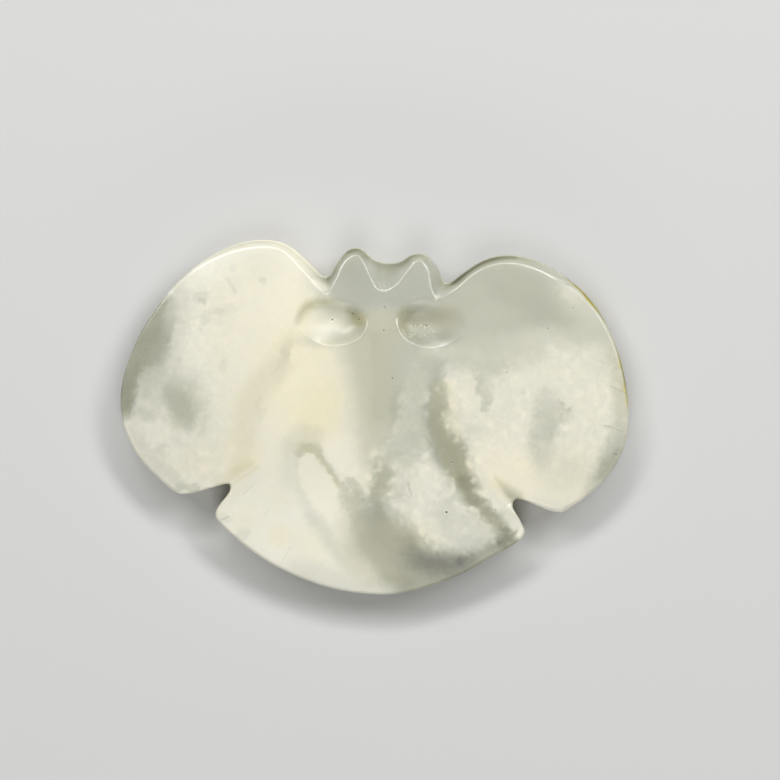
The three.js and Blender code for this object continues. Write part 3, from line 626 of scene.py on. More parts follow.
WARMTH = [
    ("blob", (-10.6, 6.0, 6.55, 9.97, 0), 3.7, 0.7, 1),
    ("blob", (-14.9, 16.6, 7.12, 5.7, 0), 3.7, 0.48, 0.8),
    ("blob", (-7.5, 1.0, 3.13, 3.7, 0), 2.28, 1.05, 0.9),
    ("blob", (-9.9, 14.5, 1.99, 4.27, 0), 1.71, 0.7, 0.5),
    ("stroke", [(-11.8, 10.9, 1.42), (-14.9, 6.0, 1.99), (-18.0, 1.0, 1.99), (-18.6, -4.7, 1.85), (-19.7, -7.6, 1.14)], 1.71, 0.8, 0.9),
    ("blob", (-18.3, -5.4, 2.28, 2.28, 0), 1.71, 0.9, 0.8),
    ("blob", (-24.2, -5.9, 3.7, 1.99, 0), 1.99, 0.6, 0.7),
    ("blob", (-20.6, 10.9, 2.28, 5.13, 0), 2.28, 0.45, 0.7),
    ("blob", (-30.6, 3.8, 6.26, 11.39, 0), 3.42, 0.1, 0.8),
    ("blob", (-26.9, 1.7, 2.28, 3.13, 0), 1.42, 0.35, 0.8),
    ("blob", (-13.2, -16.8, 1.57, 1.42, 0), 1.14, 0.9, 0.9),
    ("blob", (-8.6, -18.1, 3.13, 2.85, 0), 1.99, 0.6, 0.7),
    ("blob", (-3.5, -12.7, 1.71, 3.42, 0), 1.28, 0.9, 0.7),
    ("blob", (-18.6, -14.7, 1.71, 1.71, 0), 1.28, 0.6, 0.6),
    ("blob", (-9.2, -4.4, 1.71, 0.85, 0), 0.71, 0.9, 0.8),
    ("blob", (-6.4, -11.8, 2.28, 3.7, 30), 1.99, 0.4, 0.6),
    ("blob", (20.7, -7.8, 6.55, 2.85, -12), 2.28, 0.6, 0.9),
    ("blob", (28.4, -8.3, 3.99, 3.13, 0), 1.99, 0.5, 0.8),
    ("blob", (17.6, -9.3, 1.71, 1.14, -30), 1.14, 0.8, 0.6),
    ("blob", (-0.9, 6.0, 3.13, 11.39, 0), 1.99, 0.65, 0.9),
    ("blob", (0.8, 13.1, 2.85, 1.99, 0), 1.42, 0.6, 0.9),
    ("stroke", [(9.3, 3.8, 1.42), (10.7, -4.0, 1.71), (13.6, -11.1, 1.42), (18.6, -17.2, 1.14)], 1.14, 0.75, 0.9),
    ("blob", (0.8, -9.0, 1.99, 2.56, 0), 1.14, 0.6, 0.8),
    ("blob", (2.2, -19.0, 7.4, 5.13, 0), 1.99, 0.8, 0.9),
    ("blob", (10.2, -20.7, 5.13, 1.99, -6), 1.71, 0.2, 0.9),
    ("blob", (1.5, 18.8, 8.54, 3.99, 0), 1.99, -0.1, 0.9),
    ("stroke", [(-10.2, -4.3, 0.43), (-8.4, -4.6, 0.57), (-6.6, -7.3, 0.43), (-4.9, -9.6, 0.43)], 0.57, 1.0, 0.9),
    ("stroke", [(27.2, 19.8, -0.07), (29.8, 17.4, 0.11), (32.5, 14.1, 0.17), (34.0, 11.7, 0.17), (35.2, 7.2, 0.21), (35.9, 3.3, 0.17), (36.1, 0.7, -0.07)], 0.28, 5.2, 1),
    ("stroke", [(33.8, 10.9, 0.85), (35.1, 5.3, 1.0), (35.2, 1.0, 0.71)], 1.14, 0.7, 0.7),
]
SMOOTH_EDGES = [  # where the clouds' edge is a slow change and not a cottony one
    ("region", [(11.4, 16.6), (39.2, 16.6), (39.2, 6.4), (26.4, 6.4), (17.8, 5.3), (12.4, 5.8)], 1.71, 0.85, 1),
    ("blob", (6.5, 7.4, 2.85, 4.84, -20), 1.71, 0.7, 1),
    ("region", [(-10.6, 20.9), (-0.4, 20.9), (-0.4, 2.4), (-0.1, -5.9), (-3.5, -7.6), (-7.8, -0.4)], 0.85, 0.9, 1),
    ("region", [(-4.1, -12.7), (-1.4, -12.4), (2.9, -20.4), (3.6, -27.5), (-6.4, -26.1), (-5.6, -17.5)], 1.0, 0.95, 1),
    ("stroke", [(2.2, -14.0, 0.85), (4.2, -16.1, 1.14), (6.5, -18.2, 1.14), (9.3, -19.4, 1.14), (12.9, -19.8, 1.14), (16.4, -19.0, 1.0)], 1.14, 0.25, 1),
    ("stroke", [(17.1, -16.1, 0.85), (19.0, -17.1, 0.85)], 0.85, 0.4, 1),
]
PAINTED_LIGHT_SHADE_AND_TONE = [  # darker or paler: mostly painted shade and painted highlights where the carving's relief would lose or catch the light, and a few darker tones of the stone itself
    # painted shade and painted light in the left hollow
    ("blob", (-5.9, 13.2, 4.41, 2.71, -3), 0.71, -0.04, 0.9),
    ("stroke", [(-10.8, 13.5, 0.28), (-10.2, 14.8, 0.5), (-9.1, 15.8, 0.64), (-7.6, 16.1, 0.57)], 0.71, -0.27, 0.95),
    ("stroke", [(-8.1, 15.9, 0.5), (-6.4, 15.8, 0.43), (-4.6, 15.1, 0.28), (-2.9, 14.4, 0.14)], 0.71, -0.2, 0.95),
    ("blob", (-4.4, 14.9, 1.28, 0.71, -25), 0.71, 0.08, 1),
    ("blob", (-5.2, 13.4, 1.57, 1.0, -25), 0.85, 0.16, 1),
    ("blob", (-10.2, 11.2, 1.28, 0.85, -30), 0.85, 0.02, 0.9),
    ("blob", (-7.5, 11.1, 2.85, 1.14, 4), 0.85, -0.16, 1),
    # painted shade and painted light in the right hollow
    ("blob", (8.2, 13.2, 4.41, 2.99, 1), 0.57, -0.07, 0.9),
    ("blob", (8.5, 11.4, 2.99, 1.0, 0), 0.85, -0.15, 1),
    ("blob", (9.6, 15.8, 1.71, 0.85, 0), 0.71, 0.05, 1),
    ("blob", (9.3, 14.1, 2.56, 1.71, 0), 1.14, -0.06, 0.8),
    ("blob", (4.3, 13.9, 1.0, 1.42, -10), 0.71, -0.07, 0.9),
    # painted shade in the grooves at the tail's notches
    ("stroke", [(-21.9, -9.3, 0.43), (-20.0, -8.4, 0.64), (-18.5, -7.4, 0.57), (-17.2, -6.7, 0.28)], 1.0, -0.15, 1),
    ("stroke", [(20.0, -11.4, 0.85), (19.1, -10.6, 0.64), (18.0, -9.6, 0.28), (17.1, -8.7, 0.0)], 0.71, -0.33, 1),
    ("stroke", [(21.1, -12.4, 0.43), (22.8, -13.0, 0.36)], 0.71, -0.08, 0.9),
    # a darker golden line along the right wing's rim
    ("stroke", [(27.2, 19.8, -0.07), (29.8, 17.4, 0.11), (32.5, 14.1, 0.17), (34.0, 11.7, 0.17), (35.2, 7.2, 0.21), (35.9, 3.3, 0.17), (36.1, 0.7, -0.07)], 0.28, -0.48, 1),
    # painted shade on the right wing's bevel
    ("stroke", [(11.0, 18.9, 0.21), (11.7, 19.5, 0.57), (13.6, 21.1, 0.57), (16.7, 22.3, 0.43), (20.0, 22.6, 0.14)], 0.43, -0.16, 1),
    # painted light on the bevel in the left ear's notch
    ("stroke", [(-8.6, 19.2, 0.28), (-7.5, 18.5, 0.57), (-6.6, 18.2, 0.36)], 0.5, 0.17, 1),
    ("stroke", [(12.2, -20.2, 0.57), (14.3, -19.4, 0.57), (16.1, -18.5, 0.57), (17.4, -17.5, 0.43)], 0.85, -0.12, 1),
    ("blob", (12.2, 2.4, 1.71, 1.28, -10), 1.14, 0.05, 1),
    # painted shade on the left ear's top bevel
    ("stroke", [(-3.7, 23.5, 0.43), (-2.4, 23.5, 0.57), (-1.2, 22.6, 0.43)], 0.43, -0.08, 1),
    # painted light in the scoop between the ears
    ("stroke", [(-0.4, 21.2, 0.71), (1.6, 20.6, 1.0), (3.6, 20.9, 0.71)], 0.71, 0.07, 1),
    # a painted glint at the inner corner of the right ear's notch
    ("stroke", [(8.7, 16.6, 0.11), (8.9, 17.4, 0.09)], 0.17, 0.3, 1),
    # painted shade laid over the highlight on the right ear's outer flank
    ("stroke", [(7.0, 22.1, 0.04), (7.7, 21.5, 0.14), (8.0, 19.9, 0.17), (8.2, 18.6, 0.17), (8.5, 17.6, 0.09)], 0.26, -0.13, 1),
    # painted shade laid over the highlight on the right wing's rounded rim
    ("stroke", [(25.8, 19.4, 0.07), (28.5, 18.2, 0.14), (30.4, 16.5, 0.17), (32.2, 14.4, 0.17), (33.8, 11.9, 0.14), (34.7, 9.1, 0.11), (35.4, 6.4, 0.03)], 0.26, -0.17, 1),
]
OLIVE = [  # and where it looks more olive: the tint of the painted shade in the hollows and the notch grooves, and the golden rim
    ("stroke", [(-10.2, 13.8, 0.43), (-9.8, 15.2, 0.57), (-8.5, 16.1, 0.57), (-6.4, 16.2, 0.71), (-4.2, 15.2, 0.71), (-2.4, 14.1, 0.71)], 0.85, 0.75, 1),
    ("blob", (-2.2, 13.8, 1.0, 1.14, 30), 0.43, 1.0, 1),
    ("blob", (4.5, 13.8, 1.28, 1.71, -10), 0.85, 0.9, 1),
    ("blob", (8.2, 14.1, 3.7, 1.99, 0), 1.14, 0.35, 1),
    ("stroke", [(27.2, 19.8, -0.07), (29.8, 17.4, 0.11), (32.5, 14.1, 0.17), (34.0, 11.7, 0.17), (35.2, 7.2, 0.21), (35.9, 3.3, 0.17), (36.1, 0.7, -0.07)], 0.28, 1.2, 1),
    ("stroke", [(-21.9, -9.3, 0.57), (-20.0, -8.4, 0.71), (-18.5, -7.4, 0.57), (-17.2, -6.7, 0.28)], 1.0, 0.75, 1),
    ("stroke", [(20.0, -11.4, 1.0), (18.8, -10.4, 0.71), (17.7, -9.3, 0.43), (17.0, -8.6, 0.14)], 0.71, 0.8, 1),
]
MATTE = [  # where the ground surface is not polished
    ("blob", (-5.9, 13.2, 4.41, 2.71, -3), 0.71, 0.4, 1),
    ("blob", (8.2, 13.2, 4.41, 2.99, 1), 0.71, 0.5, 1),
    ("blob", (10.4, 11.8, 1.71, 0.85, 30), 0.71, 1.0, 1),
    ("stroke", [(25.8, 19.4, 0.14), (28.5, 18.2, 0.36), (30.4, 16.5, 0.43), (32.2, 14.4, 0.43), (33.8, 11.9, 0.43), (34.7, 9.1, 0.36), (35.4, 6.1, 0.14)], 0.36, 0.8, 1),
    ("stroke", [(7.2, 21.9, 0.14), (7.7, 21.5, 0.28), (8.0, 19.9, 0.28), (8.2, 18.6, 0.28), (8.5, 17.6, 0.14)], 0.28, 0.8, 1),
]
FLOCKY = [  # where the clouds are made up of small flocks, and not smooth like cream
    ("region", [(-35.5, 18.1), (-24.9, 23.8), (-19.2, 18.1), (-19.9, 12.4), (-21.3, 2.4), (-19.9, -3.3), (-24.9, -10.4), (-32.0, -7.6), (-36.3, 2.4)], 2.56, 0.8, 1),
    ("region", [(2.9, 9.5), (26.4, 12.4), (37.8, 5.3), (36.4, -7.6), (26.4, -9.0), (15.0, -9.0), (20.7, -17.5), (13.6, -20.4), (3.6, -17.5), (-0.7, -7.6)], 1.99, 1.0, 1),
    ("blob", (20.7, -8.7, 5.7, 2.56, -12), 1.99, 0.25, 0.9),
    ("blob", (-1.8, -9.7, 2.28, 3.13, 0), 1.14, 0.9, 1),
]
CALM = [  # where the shapes keep their lines and aren't bent about
    ("blob", (-8.1, -10.4, 6.55, 8.83, 20), 2.85, 0.85, 1),
]


def hash01(ix, iy, seed):
    h = (ix.astype(np.int64) * 374761393 + iy.astype(np.int64) * 668265263 + seed * 144665) & 0x7FFFFFFF
    h = ((h ^ (h >> 13)) * 1274126177) & 0x7FFFFFFF
    return ((h ^ (h >> 16)) & 0xFFFF) / 65535.0


def value_noise(x, y, seed):
    ix, iy = np.floor(x), np.floor(y)
    fx, fy = x - ix, y - iy
    fx = fx**3 * (fx * (fx * 6 - 15) + 10)
    fy = fy**3 * (fy * (fy * 6 - 15) + 10)
    a, b = hash01(ix, iy, seed), hash01(ix + 1, iy, seed)
    c, d = hash01(ix, iy + 1, seed), hash01(ix + 1, iy + 1, seed)
    return (a + (b - a) * fx) * (1 - fy) + (c + (d - c) * fx) * fy


def fbm(x, y, seed, octaves=4, gain=0.55):
    total, amp, norm = np.zeros_like(x, float), 1.0, 0.0
    for k in range(octaves):
        total += amp * (value_noise(x * 2**k + 17.3 * k, y * 2**k - 9.1 * k, seed + k) * 2 - 1)
        norm += amp
        amp *= gain
    return total / norm


def spline(points, closed, n):
    p = np.array(points, float)
    m = len(p)
    before = np.roll(p, 1, 0)
    after, beyond = np.roll(p, -1, 0), np.roll(p, -2, 0)
    if not closed:
        before[0] = 2 * p[0] - p[1]
        beyond[m - 2] = 2 * p[m - 1] - p[m - 2]
    out = []
    for i in range(m if closed else m - 1):
        p0, p1, p2, p3 = before[i], p[i], after[i], beyond[i]
        for k in range(n):
            t = k / n
            out.append(
                0.5
                * (
                    2 * p1
                    + (p2 - p0) * t
                    + (2 * p0 - 5 * p1 + 4 * p2 - p3) * t * t
                    + (3 * p1 - p0 - 3 * p2 + p3) * t**3
                )
            )
    return np.array(out if closed else out + [p[-1]])


def segment(x, y, a, b):
    """Distance to the segment from a to b, and how far along it the nearest point is."""
    dx, dy = b[0] - a[0], b[1] - a[1]
    t = np.clip(((x - a[0]) * dx + (y - a[1]) * dy) / (dx * dx + dy * dy + 1e-12), 0, 1)
    return np.hypot(x - a[0] - t * dx, y - a[1] - t * dy), t


def region(x, y, points):
    ring = spline(points, True, 7)
    d, inside = np.full(x.shape, 1e9), np.zeros(x.shape, bool)
    for a, b in zip(ring, np.roll(ring, -1, 0)):
        d = np.minimum(d, segment(x, y, a, b)[0])
        if a[1] != b[1]:
            inside ^= ((a[1] > y) != (b[1] > y)) & (x < (b[0] - a[0]) * (y - a[1]) / (b[1] - a[1]) + a[0])
    return np.where(inside, d, -d)


def stroke(x, y, points):
    line = spline(points, False, 5)
    best = np.full(x.shape, -1e9)
    for a, b in zip(line[:-1], line[1:]):
        d, t = segment(x, y, a, b)
        best = np.maximum(best, a[2] + (b[2] - a[2]) * t - d)
    return best


def blob(x, y, spec):
    cx, cy, rx, ry, turn = spec
    c, s = math.cos(math.radians(turn)), math.sin(math.radians(turn))
    u, v = ((x - cx) * c + (y - cy) * s) / rx, (-(x - cx) * s + (y - cy) * c) / ry
    return (1 - np.hypot(u, v)) * min(rx, ry)


def near(x, y, kind, spec, soft):
    """Which points are near enough to a shape for it to matter."""
    if kind == "blob":
        reach = max(spec[2], spec[3]) * (1 + soft / min(spec[2], spec[3])) + 0.5
        return (np.abs(x - spec[0]) < reach) & (np.abs(y - spec[1]) < reach)
    p = np.array(spec)
    pad = soft + (p[:, 2].max() if kind == "stroke" else 0) + 1.5
    return (
        (x > p[:, 0].min() - pad) & (x < p[:, 0].max() + pad) & (y > p[:, 1].min() - pad) & (y < p[:, 1].max() + pad)
    )


def build_up(x, y, base, layers):
    v = np.full(x.shape, float(base))
    shapes = {"region": region, "stroke": stroke, "blob": blob}
    for kind, spec, soft, value, strength in layers:
        at = near(x, y, kind, spec, soft)
        if at.any():
            m = smooth(0.5 + shapes[kind](x[at], y[at], spec) / (2 * soft)) * strength
            v[at] += (value - v[at]) * m
    return v


def clouds(x, y):
    """For each point: how far inside the clouds' edge it is, how soft and how ragged the edge is there, the tone
    inside and outside the clouds, and the warmth."""
    wx = fbm(x / 3.7, y / 3.7, 11) * 0.71 + fbm(x, y, 12, 3) * 0.23
    wy = fbm(x / 3.7 + 40, y / 3.7, 13) * 0.71 + fbm(x, y + 30, 14, 3) * 0.23
    bend = 0.8 * (1 - build_up(x, y, 0.0, CALM))
    bent_x, bent_y = x + wx * bend, y + wy * bend
    wisps = 0.25 + 2.2 * smooth((y - 3) / 4) * smooth((x - 12) / 3)  # long wisps along the top of the right wing's
    edge = np.maximum.reduce([region(x + wx * wisps, y + wy * wisps, p) for p in CLOUDS.values()])
    smoother = build_up(x, y, 0.0, SMOOTH_EDGES)
    out = {
        "cloud_edge": edge,
        "cloud_soft": 0.85 + 1.4 * smoother,
        "cloud_ragged": 1 - 0.8 * np.minimum(1, 1.3 * smoother),
        "warmth": build_up(bent_x, bent_y, PLAIN_WARMTH, WARMTH) + build_up(x, y, 0.0, OLIVE),
        # painted shade and painted highlights from the relief, with a few darker tones of the stone
        "shade": build_up(x, y, 0.0, PAINTED_LIGHT_SHADE_AND_TONE),
        "matte": build_up(x, y, 0.0, MATTE),
        "flocky": build_up(bent_x, bent_y, 0.1, FLOCKY),
    }
    # Each tone also with its slope along x and y, so that the material can ruffle its edges finely.
    h = 0.12
    for name, base, layers in (("tone_cloud", CLOUD_TONE, CLOUDY), ("tone_clear", CLEAR_TONE, CLEAR)):
        tone = build_up(bent_x, bent_y, base, layers)
        out[name] = tone
        out[name + "_x"] = (build_up(bent_x + h, bent_y, base, layers) - tone) / h
        out[name + "_y"] = (build_up(bent_x, bent_y + h, base, layers) - tone) / h
    return out


def add_attribute(obj, name, values):
    attribute = obj.data.attributes.new(name, "FLOAT", "POINT")
    attribute.data.foreach_set("value", values.astype(np.float32))

# ---------------------------------------------------------------- material
class Graph:
    """A little help for writing node maths."""

    def __init__(self, tree):
        self.tree = tree

    def add(self, kind, **settings):
        node = self.tree.nodes.new(kind)
        for key, value in settings.items():
            setattr(node, key, value)
        return node

    def put(self, socket, value):
        if isinstance(value, bpy.types.NodeSocket):
            self.tree.links.new(value, socket)
        elif value is not None:
            socket.default_value = value

    def math(self, operation, a, b=None, c=None, clamp=False):
        node = self.add("ShaderNodeMath", operation=operation, use_clamp=clamp)
        for socket, value in zip(node.inputs, (a, b, c)):
            self.put(socket, value)
        return node.outputs[0]

    def plus(self, a, b):
        return self.math("ADD", a, b)

    def times(self, a, b):
        return self.math("MULTIPLY", a, b)

    def lerp(self, a, b, t):
        return self.plus(a, self.times(t, self.math("SUBTRACT", b, a)))

    def ease(self, value, low, high):
        node = self.add("ShaderNodeMapRange", interpolation_type="SMOOTHSTEP")
        for socket, v in zip(node.inputs, (value, low, high, 0.0, 1.0)):
            self.put(socket, v)
        return node.outputs[0]

    def lump(self, noise):
        """Rounded lumps with soft creases between them, from noise about zero."""
        return self.plus(self.times(self.math("ABSOLUTE", noise), 0.55), self.times(self.times(noise, noise), 1.8))

    def noise(self, at, scale, detail=2.0, rough=0.5, distort=0.0):
        """Noise about zero, mostly within half of one either way."""
        node = self.add("ShaderNodeTexNoise")
        self.put(node.inputs["Vector"], at)
        node.inputs["Scale"].default_value = scale
        node.inputs["Detail"].default_value = detail
        node.inputs["Roughness"].default_value = rough
        node.inputs["Distortion"].default_value = distort
        return self.math("SUBTRACT", node.outputs[0], 0.5)

    def attribute(self, name):
        return self.add("ShaderNodeAttribute", attribute_name=name).outputs["Fac"]

    def moved(self, at, offset=(0, 0, 0), turn=0.0, scale=(1, 1, 1)):
        node = self.add("ShaderNodeMapping", vector_type="POINT")
        self.put(node.inputs["Vector"], at)
        node.inputs["Location"].default_value = offset
        node.inputs["Rotation"].default_value = (0, 0, math.radians(turn))
        node.inputs["Scale"].default_value = scale
        return node.outputs[0]


HAIRLINES = [  # from x, y to x, y, half width, strength
    (-16.8, -9.1, -18.6, -11.1, 0.05, 0.10),
    (-14.9, -12.8, -15.6, -14.0, 0.05, 0.08),
    (-20.4, -13.9, -21.8, -14.7, 0.07, 0.17),
    (-11.8, -18.1, -13.0, -20.4, 0.05, 0.10),
    (32.1, -1.0, 35.6, -2.2, 0.07, 0.12),
    (33.4, 4.4, 35.8, 3.3, 0.07, 0.10),
    (-13.2, -17.8, -14.0, -18.9, 0.04, 0.07),
]


def wheel_marks(g, at):
    """What the cutting wheel left: a short hatch across the scoop's crease, and chatter in the right hollow."""
    split = g.add("ShaderNodeSeparateXYZ")
    g.put(split.inputs[0], at)
    flat = g.add("ShaderNodeCombineXYZ")
    g.put(flat.inputs[0], split.outputs[0])
    g.put(flat.inputs[1], split.outputs[1])

    def window(x, y, rx, ry):
        node = g.add("ShaderNodeMapping", vector_type="TEXTURE")
        g.put(node.inputs["Vector"], flat.outputs[0])
        node.inputs["Location"].default_value = (x, y, 0)
        node.inputs["Scale"].default_value = (rx, ry, 1)
        length = g.add("ShaderNodeVectorMath", operation="LENGTH")
        g.put(length.inputs[0], node.outputs[0])
        return g.math("SUBTRACT", 1.0, g.ease(length.outputs["Value"], 0.5, 1.0))

    streaks = g.noise(g.moved(flat.outputs[0], (8, 8, 0), scale=(3.4, 0.9, 1)), 1.0, 2, 0.6)
    hatch = g.times(g.ease(streaks, 0.0, 0.3), window(0.9, 18.3, 1.9, 1.2))
    squiggle = g.math("ABSOLUTE", g.noise(g.moved(at, (70, 4, 0)), 1.0, 2, 0.5, 0.5))
    squiggle = g.math("SUBTRACT", 1.0, g.ease(squiggle, 0.006, 0.03))
    chatter = g.times(squiggle, window(6.4, 12.1, 3.4, 1.6))
    return g.plus(hatch, chatter)


def jade_material():
    mat = bpy.data.materials.new("pale_jade")
    mat.use_nodes = True
    bsdf = mat.node_tree.nodes["Principled BSDF"]
    g = Graph(mat.node_tree)
    at = g.moved(g.add("ShaderNodeTexCoord").outputs["Object"], scale=(1000, 1000, 1000))  # millimetres

    # Cottony edges: the smooth masks bulge and crease at the scale of the stone's own flocks.
    flock = g.lump(g.noise(at, 0.5, 1, 0.45, 0.2))
    tuft = g.lump(g.noise(g.moved(at, (31, 7, 0)), 1.0, 1, 0.5, 0.2))
    fluff = g.noise(g.moved(at, (60, 11, 0)), 2.2, 3, 0.6)
    torn = g.plus(g.times(flock, 5.6), g.plus(g.times(tuft, 1.0), g.plus(g.times(fluff, 0.22), -0.66)))
    edge = g.plus(g.attribute("cloud_edge"), g.times(torn, g.attribute("cloud_ragged")))
    spread = g.math("DIVIDE", edge, g.times(g.attribute("cloud_soft"), 2.0))
    sharp = g.ease(g.plus(spread, 0.5), 0.0, 1.0)
    haze = g.ease(g.plus(g.times(spread, 0.36), 0.5), 0.0, 1.0)
    inside = g.lerp(sharp, haze, 0.33)
    ruffle_x = g.times(g.noise(g.moved(at, (13, 40, 0)), 1.2, 3, 0.52, 0.3), 1.3)
    ruffle_y = g.times(g.noise(g.moved(at, (90, 21, 0)), 1.2, 3, 0.52, 0.3), 1.3)

    def ruffled(name):
        along_x = g.times(g.attribute(name + "_x"), ruffle_x)
        return g.plus(g.attribute(name), g.plus(along_x, g.times(g.attribute(name + "_y"), ruffle_y)))

    # Mottling: broad and fine in the clouds, with sparse darker flecks; only a fine grain in the clear stone.
    broad = g.noise(g.moved(at, (3, 50, 0)), 0.32, 3, 0.55, 0.4)
    middle = g.noise(g.moved(at, (11, 5, 0)), 1.1, 5, 0.65, 0.6)
    grain = g.noise(g.moved(at, (0, 9, 0)), 6.5, 2, 0.6)
    flocky = g.times(g.attribute("flocky"), g.ease(g.attribute("tone_cloud"), 0.42, 0.72))
    puffs = g.times(g.plus(g.times(flock, 0.30), g.plus(g.times(tuft, 0.12), -0.05)), flocky)
    lumpy = g.times(middle, g.plus(0.04, g.times(flocky, 0.06)))
    mottle = g.plus(g.plus(g.times(broad, 0.07), puffs), g.plus(lumpy, g.times(grain, 0.11)))
    patch = g.ease(g.noise(g.moved(at, (5, 61, 0)), 0.2, 2, 0.5), -0.02, 0.12)
    smudge = g.ease(g.noise(g.moved(at, (77, 3, 0)), 1.0, 5, 0.65, 0.2), 0.10, 0.20)
    speck = g.ease(g.noise(g.moved(at, (40, 77, 0)), 3.6, 2, 0.5), 0.2, 0.27)
    dark = g.times(g.plus(g.times(smudge, 0.08), g.times(speck, 0.12)), g.times(patch, flocky))
    fringe = g.times(g.times(inside, g.math("SUBTRACT", 1.0, inside)), g.times(fluff, 0.22))
    clear = g.plus(ruffled("tone_clear"), g.plus(g.times(broad, 0.03), g.times(grain, 0.075)))
    cloudy = g.plus(ruffled("tone_cloud"), g.math("SUBTRACT", mottle, dark))
    # The shade attribute adds the painted shade and painted highlights to the tone.
    tone = g.plus(g.lerp(clear, cloudy, inside), g.plus(fringe, g.attribute("shade")))

    # Hairlines and pits.
    wobble = g.times(g.noise(at, 2.0, 2, 0.5), 0.25)
    for ax, ay, bx, by, width, strength in HAIRLINES:
        length = math.hypot(bx - ax, by - ay)
        turn = math.degrees(math.atan2(by - ay, bx - ax))
        node = g.add("ShaderNodeMapping", vector_type="TEXTURE")
        g.put(node.inputs["Vector"], at)
        node.inputs["Location"].default_value = ((ax + bx) / 2, (ay + by) / 2, 0)
        node.inputs["Rotation"].default_value = (0, 0, math.radians(turn))
        split = g.add("ShaderNodeSeparateXYZ")
        g.put(split.inputs[0], node.outputs[0])
        across = g.math("ABSOLUTE", g.plus(split.outputs[1], wobble))
        along = g.math("ABSOLUTE", split.outputs[0])
        line = g.times(
            g.math("SUBTRACT", 1.0, g.ease(across, width * 0.3, width * 2.2)),
            g.math("SUBTRACT", 1.0, g.ease(along, length * 0.3, length * 0.55)),
        )
        tone = g.math("SUBTRACT", tone, g.times(line, strength))
    flat = g.add("ShaderNodeVectorMath", operation="MULTIPLY")
    g.put(flat.inputs[0], at)
    flat.inputs[1].default_value = (1, 1, 0)
    pit, ring = 0.0, 0.0
    for px, py, r, depth in PITS:
        away = g.add("ShaderNodeVectorMath", operation="DISTANCE")
        g.put(away.inputs[0], flat.outputs[0])
        away.inputs[1].default_value = (px, py, 0)
        d = away.outputs["Value"]
        weight = min(1.0, depth / 0.2)
        pit = g.math("MAXIMUM", pit, g.times(g.math("SUBTRACT", 1.0, g.ease(d, r * 0.35, r * 0.95)), weight))
        if depth > 0.2:
            ring = g.math("MAXIMUM", ring, g.math("SUBTRACT", 1.0, g.ease(d, r * 1.0, r * 2.2)))
    marks = wheel_marks(g, at)
    # The wheel marks are painted paler as well: a painted highlight along their streaks.
    tone = g.plus(tone, g.plus(g.times(ring, 0.10), g.times(marks, 0.20)))
    tone = g.lerp(tone, 0.07, g.times(pit, 0.9))

    ramp = g.add("ShaderNodeValToRGB")
    stops = [
        (0.05, (0.045, 0.0450, 0.034)),
        (0.20, (0.200, 0.2060, 0.146)),
        (0.36, (0.360, 0.3650, 0.287)),
        (0.50, (0.500, 0.5070, 0.431)),
        (0.62, (0.620, 0.6200, 0.535)),
        (0.72, (0.720, 0.7090, 0.618)),
        (0.86, (0.860, 0.8350, 0.722)),
        (1.00, (0.950, 0.9250, 0.820)),
    ]
    while len(ramp.color_ramp.elements) < len(stops):
        ramp.color_ramp.elements.new(0.5)
    for element, (position, colour) in zip(ramp.color_ramp.elements, stops):
        element.position = position
        element.color = (*colour, 1)
    g.put(ramp.inputs[0], tone)
    tint = g.add("ShaderNodeMix", data_type="RGBA", blend_type="MIX", clamp_factor=False)
    g.put(tint.inputs["Factor"], g.plus(g.attribute("warmth"), g.times(broad, 0.35)))
    tint.inputs[6].default_value = (1, 1, 1, 1)
    tint.inputs[7].default_value = (1, 0.962, 0.81, 1)
    colour = g.add("ShaderNodeMix", data_type="RGBA", blend_type="MULTIPLY")
    colour.inputs["Factor"].default_value = 1
    g.put(colour.inputs[6], ramp.outputs[0])
    g.put(colour.inputs[7], tint.outputs[2])
    g.put(bsdf.inputs["Base Color"], colour.outputs[2])

    # A waxy polish, a little duller over the clouds and in patches, and dull where the wheel's marks are left.
    matte = g.attribute("matte")
    rough = g.plus(0.20, g.plus(g.times(inside, 0.04), g.plus(g.times(middle, 0.08), g.times(matte, 0.38))))
    g.put(bsdf.inputs["Roughness"], rough)
    bump = g.add("ShaderNodeBump")
    bump.inputs["Strength"].default_value = 1.0
    bump.inputs["Distance"].default_value = 0.001
    lumps = g.plus(g.times(g.noise(g.moved(at, (2, 2, 5)), 0.9, 3, 0.5), 0.010), g.times(grain, 0.0025))
    lumps = g.plus(lumps, g.times(marks, 0.012))
    g.put(bump.inputs["Height"], g.math("SUBTRACT", lumps, g.times(pit, 0.05)))
    g.put(bsdf.inputs["Normal"], bump.outputs[0])

    bsdf.inputs["IOR"].default_value = 1.61
    bsdf.inputs["Subsurface Weight"].default_value = 0.35
    bsdf.inputs["Subsurface Radius"].default_value = (1.0, 0.92, 0.7)
    bsdf.inputs["Subsurface Scale"].default_value = 0.0004
    return mat


def paint_relief_light_and_shade(x, y, rim):
    """(painted light or shade, more olive) by the relief: a painted highlight along the arris, and painted shade on a
    crisp bevel, most towards the silhouette and where it faces left and up, tinted olive.
    """
    near, width, crisp = rim["near"], rim["width"], rim["crisp"]
    distance = (1 - near) * width
    arris = np.exp(-((distance / 0.17) ** 2)) * (near > 0)
    left_up = np.clip(rim["facing"] @ np.array([0.8, -0.6]), -1, 1)  # 1 where the bevel looks to the left and up
    # how much painted shade a crisp bevel takes, most towards the silhouette
    thin = smooth(near) * crisp
    # a painted highlight along the arris, less painted shade on the bevel, darkest where it faces left and up
    shade = 0.30 * arris * crisp - thin * (0.08 + 0.20 * np.clip(left_up, 0, 1))
    return shade, thin * 0.3


points, quads, tris, rim = stone_mesh(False)
stone = build("jade_stone", points, quads, tris)
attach(stone, "root")
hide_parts("jade_figure")
fields = clouds(points[:, 0], points[:, 1])
